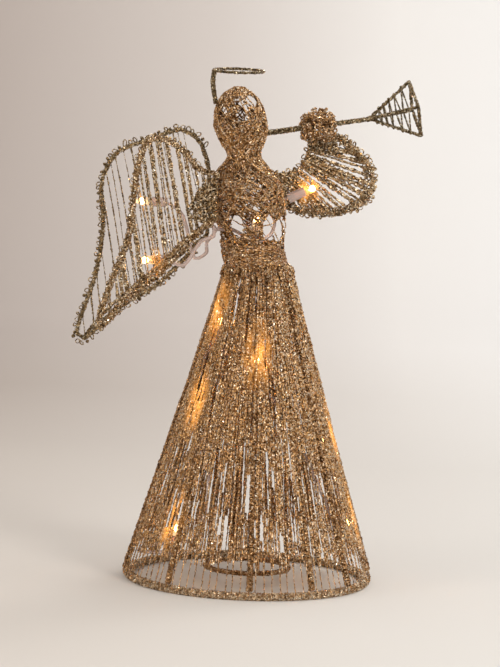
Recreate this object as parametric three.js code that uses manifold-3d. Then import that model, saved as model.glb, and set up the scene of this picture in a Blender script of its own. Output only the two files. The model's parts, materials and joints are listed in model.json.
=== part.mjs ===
// A wire angel tree topper that blows a trumpet: a skirt wound over ribs, a woven bodice and head,
// two wings tied on at the back, one raised sleeve and a string of ten small lamps inside.
// Millimetres, +Z up. The figure looks along +X, its left is +Y, and the origin is the hem's middle.
import * as THREE from "three";
import { mergeVertices } from "three/addons/utils/BufferGeometryUtils.js";
import Module from "manifold-3d";

const wasm = await Module();
wasm.setup();

// Driving sizes: what is shared
const clearance = 0.3; // what touching pieces keep between them
const weldDistance = 0.001;
const degree = Math.PI / 180;
const fullTurn = 2 * Math.PI;
const gapSampleStep = 0.8; // how finely a winding's gap to itself is measured
const turnShare = 0.48; // the most of a turn's length that one cut corner takes
const mitreFloor = 0.25; // keeps the mitre of a sharp corner from running away
const gapPathShare = 5; // wire widths of path that part two places before their gap counts

// Driving sizes: the skirt
const hemRadius = 74.4; // the strands' middle at the hem
const hemHeight = 4;
const waistRadius = 19.2; // the strands' middle at the waist
const waistHeight = 186;
const strandRadius = 0.52;
const strandPitchAngle = 5.7;
const strandTurnRoom = 1.3;
const hemRingHalf = 2.2; // half the thickness of the hem ring
const hemRingSteps = 40;
const hemRingSides = 8;
const waistRingWire = 1.5;
const waistRingSteps = 22;
const ribFootRadius = 1.9;
const ribTopRadius = 0.75;
const ribAngles = [-144, -103.4, -73, -50, -6, 39, 83, 127, 172]; // uneven, as they were wound

// Driving sizes: the cone inside the skirt that slips over the tree's top shoot
const socketFootRadius = 25.2;
const socketFootHeight = 7.8;
const socketFootWire = 1.6;
const socketWire = 1;
const socketLegs = 4;

// Driving sizes: waist wrap, bodice and head
const wrapWire = 1.5;
const wrapPitch = 3.5;
const wrapTurns = 5;
const wrapStepsPerTurn = 13;
const shellWall = 1.4;
const shellSteps = 17;
const bodiceHeight = 38.2;
const bodiceRadius = 20.4;
const headHeight = 50.7; // neck and head together
const headRadius = 15.1;
const neckShare = 0.57; // the neck's foot, as a share of the bodice's radius
const headLean = 15.8; // how far back the crown sits from the hem's middle
const cordPort = 3.4; // radius of the holes that the lamp wires pass

// Driving sizes: halo
const haloRadius = 14.9;
const haloWire = 0.9;
const haloStemRadius = 1.5;
const haloRise = 9.4; // from the crown to the ring
const haloStemFoot = 10.5; // from the crown down to the stem's foot
const haloSteps = 22;

// Driving sizes: trumpet
const trumpetWire = 1.8;
const trumpetEnd = 1.4; // the tube's radius where the bell begins
const trumpetYaw = -7.5;
const trumpetPitch = 9.2;
const trumpetLength = 61;
const mouthShare = 0.4556; // where the tube meets the face, as a share of the neck and head
const bellLength = 28.5;
const bellPitch = 14;
const bellRoll = 9;
const bellHalfHeight = 16.6;
const bellHalfWidth = 14.2;
const bellWire = 0.8;
const bellWindingWire = 0.55;
const bellLevels = 6;
const bellThroatShare = 0.07;
const bellWindingSlack = 1.4; // how far out the winding turns at a rib, over what it must

// Driving sizes: raised sleeve and hand
const sleeveYaw = -15;
const sleeveDepth = 12.6; // how far to the left of the hem's middle the sleeve's plane lies
const sleeveReach = 68;
const sleeveHeight = 48;
const sleeveHemShare = 0.34; // of the bodice's height, as are the next two
const shoulderTopShare = 0.912;
const shoulderFootShare = 0.4346;
const edgeWire = 1.2; // the frame wire of the sleeve and wings
const edgeStrand = 0.42;
const edgeTurnRoom = 1.4; // the least distance between a strand's runs beside a turn
const edgeSlack = 0.1; // spare room where a strand cuts across a hollow of the frame
const sleevePasses = 14;
const sleeveFanShare = 0.81; // how much of the outer edge the strands reach; the cuff stays open
const ruffleAlong = 32;
const ruffleLoopRadius = 3.6; // how far a loop reaches out and in
const ruffleLoopSpan = 8; // and along the tube
const ruffleWire = 0.42;
const ruffleLoops = 11;
const ruffleStepsPerLoop = 8;
const ruffleOpenShare = 0.6; // of a loop, left open where the ruffle ends

// Driving sizes: looped edging
const loopRadius = 1.75;
const loopWire = 0.34;
const loopSway = 0.68; // how far a loop's ends part so that they pass each other
const loopLift = 0.25; // spare room over a curved frame
const wingLoopCount = 20;
const sleeveLoopCount = 13;

// Driving sizes: wings
const wingSweep = 20; // from straight back
const wingRootGap = 8; // from the figure's middle to each hinge line
const wingBreadth = 80;
const wingHeight = 130;
const wingRootDrop = 0.5; // from the bodice's top down to the wings' root corner
const wingPasses = 24;
const wingRibWire = 0.9;
const wingRibInset = 6.5;
const tieWire = 0.6;
const tieShares = [0.534, 0.835]; // of the bodice's height
const tieSlack = 0.5;

// Driving sizes: lamps and their wires
const cordRadius = 1.1;
const lampSocketRadius = 3;
const lampBoreDepth = 7;
const lampFloorWall = 1.8; // what a socket's foot keeps beside the wire through it
const lampPlugRadius = 1.9;
const lampGlassRadius = 2.5;
const lampGlassLength = 10;
const lampSides = 7;
const lampWallGap = 4.7; // from a skirt strand's middle to the lamp's middle
const cordSides = 6;
const cordStepsPerSpan = 3;
const junctionDrop = 7.5; // from a wing's root corner down to where its lamp wire is joined
const chestLampAhead = 1; // from the middle of the bodice's foot
const chestLampAside = 7;
const chestLampSink = 6; // how far its socket reaches down into the waist
const sleeveLampPitch = 25.85;
const sleeveLampShares = [0.456, 0.3356]; // of the sleeve's reach and height
const sleevePortAngle = 16;
const sleevePortShare = 0.534; // of the bodice's height

const gold = { color: 0x8a6238, roughness: 0.45, metalness: 0.8 };
const darkGold = { color: 0x6d4a28, roughness: 0.5, metalness: 0.8 };
const paleGold = { color: 0xb08a58, roughness: 0.4, metalness: 0.8 };
const clearCord = { color: 0xe2c9c0, roughness: 0.3, metalness: 0 };
const warmGlass = { color: 0xffc873, roughness: 0.1, metalness: 0 };

const topper = new THREE.Group();

// Adds one named piece with a material of its own.
function addPiece(name, geometry, finish) {
  const mesh = new THREE.Mesh(geometry, new THREE.MeshStandardMaterial(finish));
  mesh.name = name;
  topper.add(mesh);
}

// A closed mesh as a solid that can be joined and cut.
function solidFrom(geometry) {
  const bare = geometry.index ? geometry.toNonIndexed() : geometry.clone();
  bare.deleteAttribute("normal");
  bare.deleteAttribute("uv");
  const merged = mergeVertices(bare, weldDistance);
  const triVerts = new Uint32Array(merged.index.array);
  const vertProperties = merged.attributes.position.array;
  return new wasm.Manifold(new wasm.Mesh({ numProp: 3, vertProperties, triVerts }));
}

// A solid as a geometry again.
function geometryFrom(solid) {
  const mesh = solid.getMesh();
  const geometry = new THREE.BufferGeometry();
  geometry.setAttribute("position", new THREE.BufferAttribute(mesh.vertProperties, 3));
  geometry.setIndex(new THREE.BufferAttribute(mesh.triVerts, 1));
  geometry.computeVertexNormals();
  return geometry;
}

// Several overlapping geometries joined into one.
function joined(geometries) {
  return geometryFrom(geometries.map(solidFrom).reduce((all, next) => all.add(next)));
}

// The value at a share along a table of [share, value] rows.
function shareAt(rows, share) {
  const next = rows.findIndex((row) => row[0] >= share);
  if (next === 0) return rows[0][1];
  if (next < 0) return rows[rows.length - 1][1];
  const [from, to] = [rows[next - 1], rows[next]];
  return THREE.MathUtils.mapLinear(share, from[0], to[0], from[1], to[1]);
}

// A point at a polar angle in degrees, a radius and a height round the hem's middle.
function polar(angle, radius, height) {
  return new THREE.Vector3(radius * Math.cos(angle * degree), radius * Math.sin(angle * degree), height);
}

// A path whose cross-sections fall exactly on its points, however far apart they lie.
class PointPath extends THREE.Curve {
  constructor(points) {
    super();
    this.points = points;
  }

  getPoint(share, target = new THREE.Vector3()) {
    const place = share * (this.points.length - 1);
    const first = Math.min(Math.floor(place), this.points.length - 2);
    return target.lerpVectors(this.points[first], this.points[first + 1], place - first);
  }

  getTangent(share, target = new THREE.Vector3()) {
    const here = Math.round(share * (this.points.length - 1));
    target.set(0, 0, 0);
    if (here > 0) target.add(heading(this.points[here - 1], this.points[here]));
    if (here < this.points.length - 1) target.add(heading(this.points[here], this.points[here + 1]));
    return target.normalize();
  }

  getUtoTmapping(share) {
    return share;
  }
}

// The unit direction from one point to another.
function heading(from, to) {
  return new THREE.Vector3().subVectors(to, from).normalize();
}

// A wire of even thickness through points, with flat ends.
function wire(points, radius, sides) {
  const corners = [];
  for (let side = 0; side < sides; side++) {
    const turn = (fullTurn * side) / sides;
    corners.push(new THREE.Vector2(radius * Math.cos(turn), radius * Math.sin(turn)));
  }
  const settings = { steps: points.length - 1, extrudePath: new PointPath(points), bevelEnabled: false };
  return new THREE.ExtrudeGeometry(new THREE.Shape(corners), settings);
}

// A wire that closes on itself along a flat outline.
function closedWire(points, planeNormal, radius, sides) {
  const count = points.length;
  const positions = [];
  const triangles = [];
  points.forEach((point, i) => {
    const into = heading(points[(i + count - 1) % count], point);
    const along = heading(point, points[(i + 1) % count]).add(into).normalize();
    const across = new THREE.Vector3().crossVectors(planeNormal, along).normalize();
    for (let side = 0; side < sides; side++) {
      const turn = (fullTurn * side) / sides;
      const corner = point.clone().addScaledVector(across, radius * Math.cos(turn));
      positions.push(...corner.addScaledVector(planeNormal, radius * Math.sin(turn)).toArray());
      const nextRing = ((i + 1) % count) * sides;
      const nextSide = (side + 1) % sides;
      triangles.push(i * sides + side, i * sides + nextSide, nextRing + side);
      triangles.push(i * sides + nextSide, nextRing + nextSide, nextRing + side);
    }
  });
  const geometry = new THREE.BufferGeometry();
  geometry.setAttribute("position", new THREE.Float32BufferAttribute(positions, 3));
  geometry.setIndex(triangles);
  geometry.computeVertexNormals();
  return geometry;
}

// A straight round bar that may taper from one end to the other.
function bar(from, to, fromRadius, toRadius, sides) {
  const length = from.distanceTo(to);
  const geometry = new THREE.CylinderGeometry(toRadius, fromRadius, length, sides);
  geometry.rotateX(Math.PI / 2);
  const turn = new THREE.Quaternion().setFromUnitVectors(new THREE.Vector3(0, 0, 1), heading(from, to));
  geometry.applyQuaternion(turn);
  const middle = new THREE.Vector3().addVectors(from, to).multiplyScalar(1 / 2);
  return geometry.translate(...middle.toArray());
}

// A round section turned about the height axis; its profile is given as [radius, height] rows.
function turned(profile, steps) {
  const points = profile.map(([radius, height]) => new THREE.Vector2(radius, height));
  return new THREE.LatheGeometry(points, steps).rotateX(Math.PI / 2);
}

// A smooth line that passes exactly through chosen points.
function through(points) {
  const steps = cordStepsPerSpan * (points.length - 1);
  return new THREE.CatmullRomCurve3(points, false, "centripetal").getPoints(steps);
}

// Evenly spaced points along a smooth line through chosen ones.
function smooth(points, steps) {
  return new THREE.CatmullRomCurve3(points, false, "centripetal").getSpacedPoints(steps);
}

// Prints the least gap that a winding keeps to itself.
function reportLeastGap(name, points, radius) {
  const samples = [];
  let travelled = 0;
  for (let i = 1; i < points.length; i++) {
    const length = points[i].distanceTo(points[i - 1]);
    const parts = Math.max(1, Math.ceil(length / gapSampleStep));
    for (let part = 0; part < parts; part++) {
      const spot = new THREE.Vector3().lerpVectors(points[i - 1], points[i], part / parts);
      samples.push([spot, travelled + (length * part) / parts]);
    }
    travelled += length;
  }
  let least = Infinity;
  samples.forEach(([spot, at], i) => {
    for (let j = i + 1; j < samples.length; j++) {
      if (samples[j][1] - at < gapPathShare * 2 * radius) continue;
      least = Math.min(least, spot.distanceTo(samples[j][0]));
    }
  });
  console.log(name + ": least gap to itself " + (least - 2 * radius).toFixed(2) + " mm");
}

// How far a turn is cut back, so that its two runs keep their room beside an acute corner.
function turnCut(run, over, room) {
  return room / (2 * Math.cos(run.angleTo(over) / 2));
}

// A winding that runs to and fro between two rows of points, with its corners cut at each end.
function windingPoints(starts, ends, room) {
  const points = [];
  starts.forEach((start, i) => {
    const upward = i % 2 === 0;
    const [from, to] = upward ? [start, ends[i]] : [ends[i], start];
    const run = heading(from, to);
    if (i === 0) points.push(from.clone());
    if (i === starts.length - 1) {
      points.push(to.clone());
      return;
    }
    const [nextFrom, nextTo] = upward ? [ends[i + 1], starts[i + 1]] : [starts[i + 1], ends[i + 1]];
    const over = heading(to, nextFrom);
    const length = to.distanceTo(nextFrom);
    const nearCut = Math.min(turnCut(run, over, room), length * turnShare);
    const farCut = Math.min(turnCut(over, heading(nextFrom, nextTo), room), length * turnShare);
    points.push(to.clone().addScaledVector(run, -nearCut));
    points.push(to.clone().addScaledVector(over, nearCut));
    points.push(nextFrom.clone().addScaledVector(over, -farCut));
    points.push(nextFrom.clone().addScaledVector(heading(nextFrom, nextTo), farCut));
  });
  return points;
}

// The skirt's strands lie on one straight cone.
function skirtRadiusAt(height) {
  return THREE.MathUtils.mapLinear(height, hemHeight, waistHeight, hemRadius, waistRadius);
}

// Heights of the body, each standing on the piece below it.
const waistRingRadius = waistRadius - strandRadius - waistRingWire - clearance;
const wrapFoot = waistHeight + waistRingWire + clearance + wrapWire;
const bodiceFoot = wrapFoot + wrapPitch * wrapTurns + wrapWire + clearance;
const bodiceTop = bodiceFoot + bodiceHeight;
const bodiceLevel = (share) => bodiceFoot + bodiceHeight * share;
const neckFoot = bodiceTop + clearance;
const crownHeight = neckFoot + headHeight;
const mouthHeight = neckFoot + headHeight * mouthShare;
const tieHeights = tieShares.map(bodiceLevel);
const sleeveHem = bodiceLevel(sleeveHemShare);

// The body leans back as it rises: shares of the rise above the waist, and of the lean at the crown.
const leanShares = [
  [0, 0],
  [0.13, 0.26],
  [0.21, 0.32],
  [0.35, 0.36],
  [0.5, 0.63],
  [0.57, 0.65],
  [0.66, 0.77],
  [0.78, 0.9],
  [0.88, 0.98],
  [1, 1],
];

function leanAt(height) {
  return -headLean * shareAt(leanShares, (height - waistHeight) / (crownHeight - waistHeight));
}

// Outer radius against height, as shares of the bodice's own height and radius.
const bodiceShares = [
  [0, 0.91],
  [0.18, 0.98],
  [0.41, 1],
  [0.65, 0.98],
  [0.86, 0.93],
  [0.94, 0.81],
  [1, 0.62],
];
const headShares = [
  [0, (bodiceRadius * neckShare) / headRadius],
  [0.05, 0.72],
  [0.14, 0.62],
  [0.24, 0.61],
  [0.32, 0.78],
  [0.42, 0.92],
  [0.52, 1],
  [0.66, 0.98],
  [0.78, 0.86],
  [0.86, 0.72],
  [0.94, 0.46],
  [1, 0],
];

function bodiceRadiusAt(height) {
  return bodiceRadius * shareAt(bodiceShares, (height - bodiceFoot) / bodiceHeight);
}

function headRadiusAt(height) {
  return headRadius * shareAt(headShares, (height - neckFoot) / headHeight);
}

// Leans a turned shell back with the body.
function leaned(geometry) {
  const places = geometry.attributes.position;
  for (let i = 0; i < places.count; i++) places.setX(i, places.getX(i) + leanAt(places.getZ(i)));
  return geometry;
}

// A six-sided plug that cuts a slanted window through a shell wall.
function windowCutter(angle, height, halfWidth, halfHeight, reach) {
  const cutter = new THREE.CylinderGeometry(1, 1, reach, 6);
  cutter.scale(halfHeight, 1, halfWidth);
  cutter.rotateZ(-Math.PI / 2);
  cutter.rotateX(Math.PI / 2);
  cutter.translate(reach / 2, 0, 0);
  cutter.rotateZ(angle * degree);
  return cutter.translate(leanAt(height), 0, height);
}

function cutWindows(shell, windows, reach) {
  const cutters = windows.map(([angle, height, halfWidth, halfHeight]) =>
    solidFrom(windowCutter(angle, height, halfWidth, halfHeight, reach)),
  );
  return geometryFrom(cutters.reduce((left, cutter) => left.subtract(cutter), solidFrom(shell)));
}

// Skirt: hem ring with a flat underside, waist ring, ribs and windings.
const hemRingRadius = hemRadius - strandRadius - clearance - hemRingHalf;
const hemRingCorner = hemRingHalf / Math.cos(Math.PI / hemRingSides);
const hemRingProfile = [];
for (let corner = 0; corner <= hemRingSides; corner++) {
  const turn = (fullTurn * (corner + 1 / 2)) / hemRingSides;
  const across = hemRingCorner * Math.cos(turn);
  hemRingProfile.push([hemRingRadius + across, hemRingHalf + hemRingCorner * Math.sin(turn)]);
}
addPiece("hem_ring", turned(hemRingProfile, hemRingSteps), gold);
const waistRing = new THREE.TorusGeometry(waistRingRadius, waistRingWire, 6, waistRingSteps);
addPiece("waist_ring", waistRing.translate(0, 0, waistHeight), darkGold);

const ribFootHeight = hemRingHalf + hemRingCorner + clearance + ribFootRadius / 2;
ribAngles.forEach((angle, i) => {
  const foot = polar(angle, skirtRadiusAt(ribFootHeight), ribFootHeight);
  const top = polar(angle, waistRadius, waistHeight);
  addPiece("skirt_rib_" + (i + 1), bar(foot, top, ribFootRadius, ribTopRadius, 8), darkGold);

  const nextAngle = i + 1 < ribAngles.length ? ribAngles[i + 1] : ribAngles[0] + 360;
  const passes = Math.floor((nextAngle - angle) / strandPitchAngle);
  const starts = [];
  const ends = [];
  for (let pass = 1; pass <= passes; pass++) {
    const at = THREE.MathUtils.lerp(angle, nextAngle, pass / (passes + 1));
    starts.push(polar(at, hemRadius, hemHeight));
    ends.push(polar(at, waistRadius, waistHeight));
  }
  const points = windingPoints(starts, ends, strandTurnRoom);
  reportLeastGap("skirt_winding_" + (i + 1), points, strandRadius);
  addPiece("skirt_winding_" + (i + 1), wire(points, strandRadius, 4), gold);
});

// Tree socket: a foot ring, a top ring seated inside the waist ring, and straight legs.
const socketTopRadius = waistRingRadius - waistRingWire - clearance - socketWire;
const socketFoot = new THREE.TorusGeometry(socketFootRadius, socketFootWire, 5, waistRingSteps);
const socketTop = new THREE.TorusGeometry(socketTopRadius, socketWire, 5, waistRingSteps);
const socketPieces = [
  socketFoot.translate(0, 0, socketFootHeight),
  socketTop.translate(0, 0, waistHeight),
];
for (let leg = 0; leg < socketLegs; leg++) {
  const angle = (360 * leg) / socketLegs;
  const foot = polar(angle, socketFootRadius, socketFootHeight);
  socketPieces.push(bar(foot, polar(angle, socketTopRadius, waistHeight), socketWire, socketWire, 6));
}
addPiece("tree_socket", joined(socketPieces), darkGold);

// Waist wrap: one cord wound round the waist.
const wrapPoints = [];
for (let step = 0; step <= wrapTurns * wrapStepsPerTurn; step++) {
  const turns = step / wrapStepsPerTurn;
  const height = wrapFoot + wrapPitch * turns;
  const point = polar(360 * turns, waistRingRadius, height);
  wrapPoints.push(point.setX(point.x + leanAt(height)));
}
reportLeastGap("waist_wrap", wrapPoints, wrapWire);
addPiece("waist_wrap", wire(wrapPoints, wrapWire, 5), gold);

// Bodice: a thin shell, open at both ends, with the windows of its open weave.
function shellProfile(rows, foot, height, radius, closedTop) {
  const outer = rows.map(([share, wide]) => [radius * wide, foot + height * share]);
  const inner = rows.map(([share, wide]) => [
    Math.max(radius * wide - shellWall, 0),
    foot + height * share - (closedTop && wide === 0 ? shellWall : 0),
  ]);
  return closedTop ? [...inner.reverse(), ...outer] : [...outer, ...inner.reverse(), outer[0]];
}

// Windows as [angle, share of the height, half width as a share of the radius, half height as one
// of the height].
const bodiceWindowShares = [
  [-72, 0.42, 0.108, 0.209],
  [-46, 0.4, 0.167, 0.223],
  [-128, 0.38, 0.098, 0.058],
  [-150, 0.24, 0.108, 0.052],
  [-108, 0.2, 0.098, 0.052],
  [72, 0.42, 0.118, 0.183],
  [48, 0.45, 0.137, 0.157],
  [115, 0.35, 0.108, 0.079],
  [-12, 0.3, 0.127, 0.157],
  [14, 0.26, 0.13, 0.12],
];

// The windows of a shell in real sizes, for the shell's foot, height and radius.
function openingsOf(shares, foot, height, radius) {
  return shares.map(([angle, rise, wide, high]) => [
    angle,
    foot + height * rise,
    radius * wide,
    height * high,
  ]);
}

// Each lamp wire leaves the bodice through a round port: one at the back and one under the sleeve.
const backPortHeight = bodiceFoot + cordPort + 2 * clearance;
const sleevePortHeight = bodiceLevel(sleevePortShare);
const bodiceOpenings = openingsOf(bodiceWindowShares, bodiceFoot, bodiceHeight, bodiceRadius);
bodiceOpenings.push([180, backPortHeight, 2 * cordPort, cordPort]);
bodiceOpenings.push([sleevePortAngle, sleevePortHeight, cordPort, cordPort]);
const bodiceShell = leaned(
  turned(shellProfile(bodiceShares, bodiceFoot, bodiceHeight, bodiceRadius, false), shellSteps),
);
addPiece("bodice", cutWindows(bodiceShell, bodiceOpenings, 2 * bodiceRadius), gold);

// Head and neck: an egg-shaped shell, open below, with the gaps of its weave.
const headWindowShares = [
  [-62, 0.8, 0.225, 0.051],
  [-112, 0.83, 0.106, 0.028],
  [-95, 0.76, 0.099, 0.032],
  [-100, 0.6, 0.093, 0.039],
  [-125, 0.37, 0.099, 0.032],
  [-50, 0.07, 0.106, 0.028],
  [60, 0.78, 0.199, 0.047],
  [110, 0.7, 0.132, 0.039],
  [95, 0.45, 0.119, 0.039],
  [24, 0.85, 0.18, 0.045],
  [86, 0.87, 0.14, 0.035],
];
const headOpenings = openingsOf(headWindowShares, neckFoot, headHeight, headRadius);
const headShell = leaned(
  turned(shellProfile(headShares, neckFoot, headHeight, headRadius, true), shellSteps),
);
addPiece("head", cutWindows(headShell, headOpenings, 2 * headRadius), gold);

// Halo: a ring held up by a stem behind the head.
const haloHeight = crownHeight + haloRise;
const stemFootHeight = crownHeight - haloStemFoot;
const haloCentreX = leanAt(crownHeight) - haloWire;
const stemTop = new THREE.Vector3(haloCentreX - haloRadius, 0, haloHeight);
const stemFootX = leanAt(stemFootHeight) - headRadiusAt(stemFootHeight) - clearance - haloStemRadius;
const stemFoot = new THREE.Vector3(stemFootX, 0, stemFootHeight);
const stemBow = new THREE.Vector3(stemTop.x - haloStemRadius / 2, 0, crownHeight + haloRise / 4);
const haloRing = new THREE.TorusGeometry(haloRadius, haloWire, 6, haloSteps);
addPiece(
  "halo",
  joined([
    haloRing.translate(haloCentreX, 0, haloHeight),
    wire(smooth([stemFoot, stemBow, stemTop], 8), haloStemRadius, 6),
  ]),
  gold,
);

// Trumpet: a straight tube from the face, a four-ribbed bell and the wire wound round it.
function aimed(yaw, pitch) {
  const level = Math.cos(pitch * degree);
  return new THREE.Vector3(
    level * Math.cos(yaw * degree),
    level * Math.sin(yaw * degree),
    Math.sin(pitch * degree),
  );
}

const mouthX = leanAt(mouthHeight) + headRadiusAt(mouthHeight) + 2 * clearance;
const mouth = new THREE.Vector3(mouthX, 0, mouthHeight);
const tubeAim = aimed(trumpetYaw, trumpetPitch);
const bellAim = aimed(trumpetYaw, bellPitch);
const throat = mouth.clone().addScaledVector(tubeAim, trumpetLength);
addPiece("trumpet_tube", bar(mouth, throat, trumpetWire, trumpetEnd, 8), gold);

const bellApex = throat.clone().addScaledVector(bellAim, clearance + trumpetWire);
const bellSide = new THREE.Vector3().crossVectors(new THREE.Vector3(0, 0, 1), bellAim).normalize();
const bellUp = new THREE.Vector3().crossVectors(bellAim, bellSide);
// One of the bell's four corners, at a share of its length and lifted off its rib.
function bellCorner(corner, share, lift) {
  const turn = (corner * 90 + bellRoll) * degree;
  const upright = corner % 2 === 0;
  const spread = (upright ? bellHalfHeight : bellHalfWidth) * share + lift;
  const point = bellApex.clone().addScaledVector(bellAim, bellLength * share);
  point.addScaledVector(bellUp, spread * Math.cos(turn));
  return point.addScaledVector(bellSide, spread * Math.sin(turn));
}

const corners = [0, 1, 2, 3];
const bellPieces = corners.map((corner) =>
  bar(bellCorner(corner, bellThroatShare, 0), bellCorner(corner, 1, 0), bellWire, bellWire, 6),
);
const rim = corners.map((corner) => bellCorner(corner, 1, 0));
bellPieces.push(closedWire(rim, bellAim.clone().negate(), bellWire, 6));
const knotPlace = bellApex.clone().addScaledVector(bellAim, bellLength * bellThroatShare);
const knot = new THREE.IcosahedronGeometry(2 * bellWire, 1);
bellPieces.push(knot.translate(...knotPlace.toArray()));
const stubFoot = throat.clone().addScaledVector(tubeAim, clearance);
bellPieces.push(bar(stubFoot, knotPlace, trumpetEnd, 2 * bellWire, 8));
addPiece("trumpet_bell_frame", joined(bellPieces), gold);

const windingOut = bellWire + bellWindingWire + clearance; // from a rib's middle to the winding's
const windingLift = (bellWindingSlack * windingOut) / Math.cos(Math.atan(bellHalfHeight / bellLength));
const bellWinding = [];
for (let turn = 1; turn < bellLevels * corners.length; turn++) {
  const share = turn / (bellLevels * corners.length);
  if (share < 2 * bellThroatShare) continue;
  bellWinding.push(bellCorner(turn % corners.length, share, windingLift));
}
reportLeastGap("trumpet_bell_winding", bellWinding, bellWindingWire);
addPiece("trumpet_bell_winding", wire(bellWinding, bellWindingWire, 4), paleGold);

// Hand: one wire ruffled in loops round the trumpet.
const ruffleCentre = mouth.clone().addScaledVector(tubeAim, ruffleAlong);
const ruffleSide = new THREE.Vector3().crossVectors(new THREE.Vector3(0, 0, 1), tubeAim).normalize();
const ruffleUp = new THREE.Vector3().crossVectors(tubeAim, ruffleSide);
const ruffleRingRadius = trumpetWire + 2 * clearance + ruffleWire + ruffleLoopRadius;
const rufflePoints = [];
for (let step = 0; step <= ruffleLoops * ruffleStepsPerLoop; step++) {
  const loopTurn = (fullTurn * step) / ruffleStepsPerLoop;
  const around = loopTurn / (ruffleLoops + ruffleOpenShare);
  const out = ruffleRingRadius + ruffleLoopRadius * Math.cos(loopTurn);
  const point = ruffleCentre.clone().addScaledVector(tubeAim, ruffleLoopSpan * Math.sin(loopTurn));
  point.addScaledVector(ruffleSide, out * Math.cos(around));
  rufflePoints.push(point.addScaledVector(ruffleUp, out * Math.sin(around)));
}
reportLeastGap("hand_ruffle", rufflePoints, ruffleWire);
addPiece("hand_ruffle", wire(rufflePoints, ruffleWire, 4), paleGold);

// A flat, upright panel: places are given along it, up it and off it.
class Panel {
  constructor(origin, along, off) {
    this.origin = origin;
    this.along = along;
    this.off = off;
  }

  at(along, height, off = 0) {
    const point = this.origin.clone().addScaledVector(this.along, along);
    return point.addScaledVector(this.off, off).setZ(height);
  }
}

// The distance between two rows of [along, height].
function span(from, to) {
  return Math.hypot(to[0] - from[0], to[1] - from[1]);
}

// Where an outline stands at a distance along it, and which way it runs there.
function walk(outline, distance) {
  let left = distance;
  for (let i = 1; i < outline.length; i++) {
    const length = span(outline[i - 1], outline[i]);
    if (left <= length || i === outline.length - 1) {
      const share = left / length;
      const run = outline[i].map((value, axis) => (value - outline[i - 1][axis]) / length);
      return { place: outline[i - 1].map((value, axis) => value + run[axis] * length * share), run };
    }
    left -= length;
  }
  return null;
}

function lengthOf(outline) {
  return outline.slice(1).reduce((sum, point, i) => sum + span(outline[i], point), 0);
}

// A closed outline drawn in by a distance, or let out where the distance is below zero.
function drawnIn(outline, distance) {
  const count = outline.length;
  return outline.map((point, i) => {
    const before = outline[(i + count - 1) % count];
    const after = outline[(i + 1) % count];
    const into = [(point[0] - before[0]) / span(before, point), (point[1] - before[1]) / span(before, point)];
    const away = [(after[0] - point[0]) / span(point, after), (after[1] - point[1]) / span(point, after)];
    const mitre = distance / Math.max(mitreFloor, (1 + into[0] * away[0] + into[1] * away[1]) / 2);
    const normal = [(into[1] + away[1]) / 2, -(into[0] + away[0]) / 2];
    return [point[0] + normal[0] * mitre, point[1] + normal[1] * mitre];
  });
}

// Looped edging beside part of a closed outline, each loop standing outwards.
function loopedEdging(panel, outline, first, last, count) {
  const track = drawnIn(outline, -(edgeWire + clearance + loopWire + loopLift)).slice(first, last);
  const pitch = lengthOf(track) / count;
  const cornersAt = track.map((_, i) => lengthOf(track.slice(0, i + 1)));
  const points = [];
  const put = (distance, along, out, sway) => {
    const { place, run } = walk(track, distance);
    const spot = [place[0] + run[0] * along - run[1] * out, place[1] + run[1] * along + run[0] * out];
    points.push(panel.at(spot[0], spot[1], sway));
  };
  for (let loop = 0; loop < count; loop++) {
    const middle = (loop + 1 / 2) * pitch;
    for (let angle = -60; angle <= 240; angle += 60) {
      const sway = THREE.MathUtils.mapLinear(angle, -60, 240, loopSway, -loopSway);
      put(middle, loopRadius * Math.cos(angle * degree), loopRadius * (1 + Math.sin(angle * degree)), sway);
    }
    if (loop === count - 1) continue;
    const [from, to] = [middle - loopRadius / 2, middle + pitch + loopRadius / 2];
    cornersAt.forEach((at, i) => {
      const sway = THREE.MathUtils.mapLinear(at, from, to, -loopSway, loopSway);
      if (at > from && at < to) points.push(panel.at(...track[i], sway));
    });
  }
  return points;
}

// The lowest and highest places where a slanted line crosses a closed outline.
function crossings(outline, along, slant, level) {
  const found = [];
  outline.forEach((from, i) => {
    const to = outline[(i + 1) % outline.length];
    const offFrom = from[0] - along - (from[1] - level) * slant;
    const offTo = to[0] - along - (to[1] - level) * slant;
    if (offFrom * offTo >= 0) return;
    const share = offFrom / (offFrom - offTo);
    found.push([from[0] + (to[0] - from[0]) * share, from[1] + (to[1] - from[1]) * share]);
  });
  found.sort((a, b) => a[1] - b[1]);
  return [found[0], found[found.length - 1]];
}

// Sleeve: a wired outline on a plane beside the body, meeting the shoulder at its inner end.
const sleeveAlong = polar(sleeveYaw, 1, 0);
const sleeveOff = polar(sleeveYaw + 90, 1, 0);
const sleevePanel = new Panel(sleeveOff.clone().multiplyScalar(sleeveDepth), sleeveAlong, sleeveOff.clone());

// Where the sleeve's plane meets the bodice at a height, with room for the frame wire.
function shoulderAt(height) {
  const reach = bodiceRadiusAt(height) + 2 * clearance + edgeWire;
  const centre = new THREE.Vector3(leanAt(height), 0, 0).sub(sleevePanel.origin);
  const across = centre.dot(sleeveOff);
  return centre.dot(sleeveAlong) + Math.sqrt(reach * reach - across * across);
}

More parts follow.
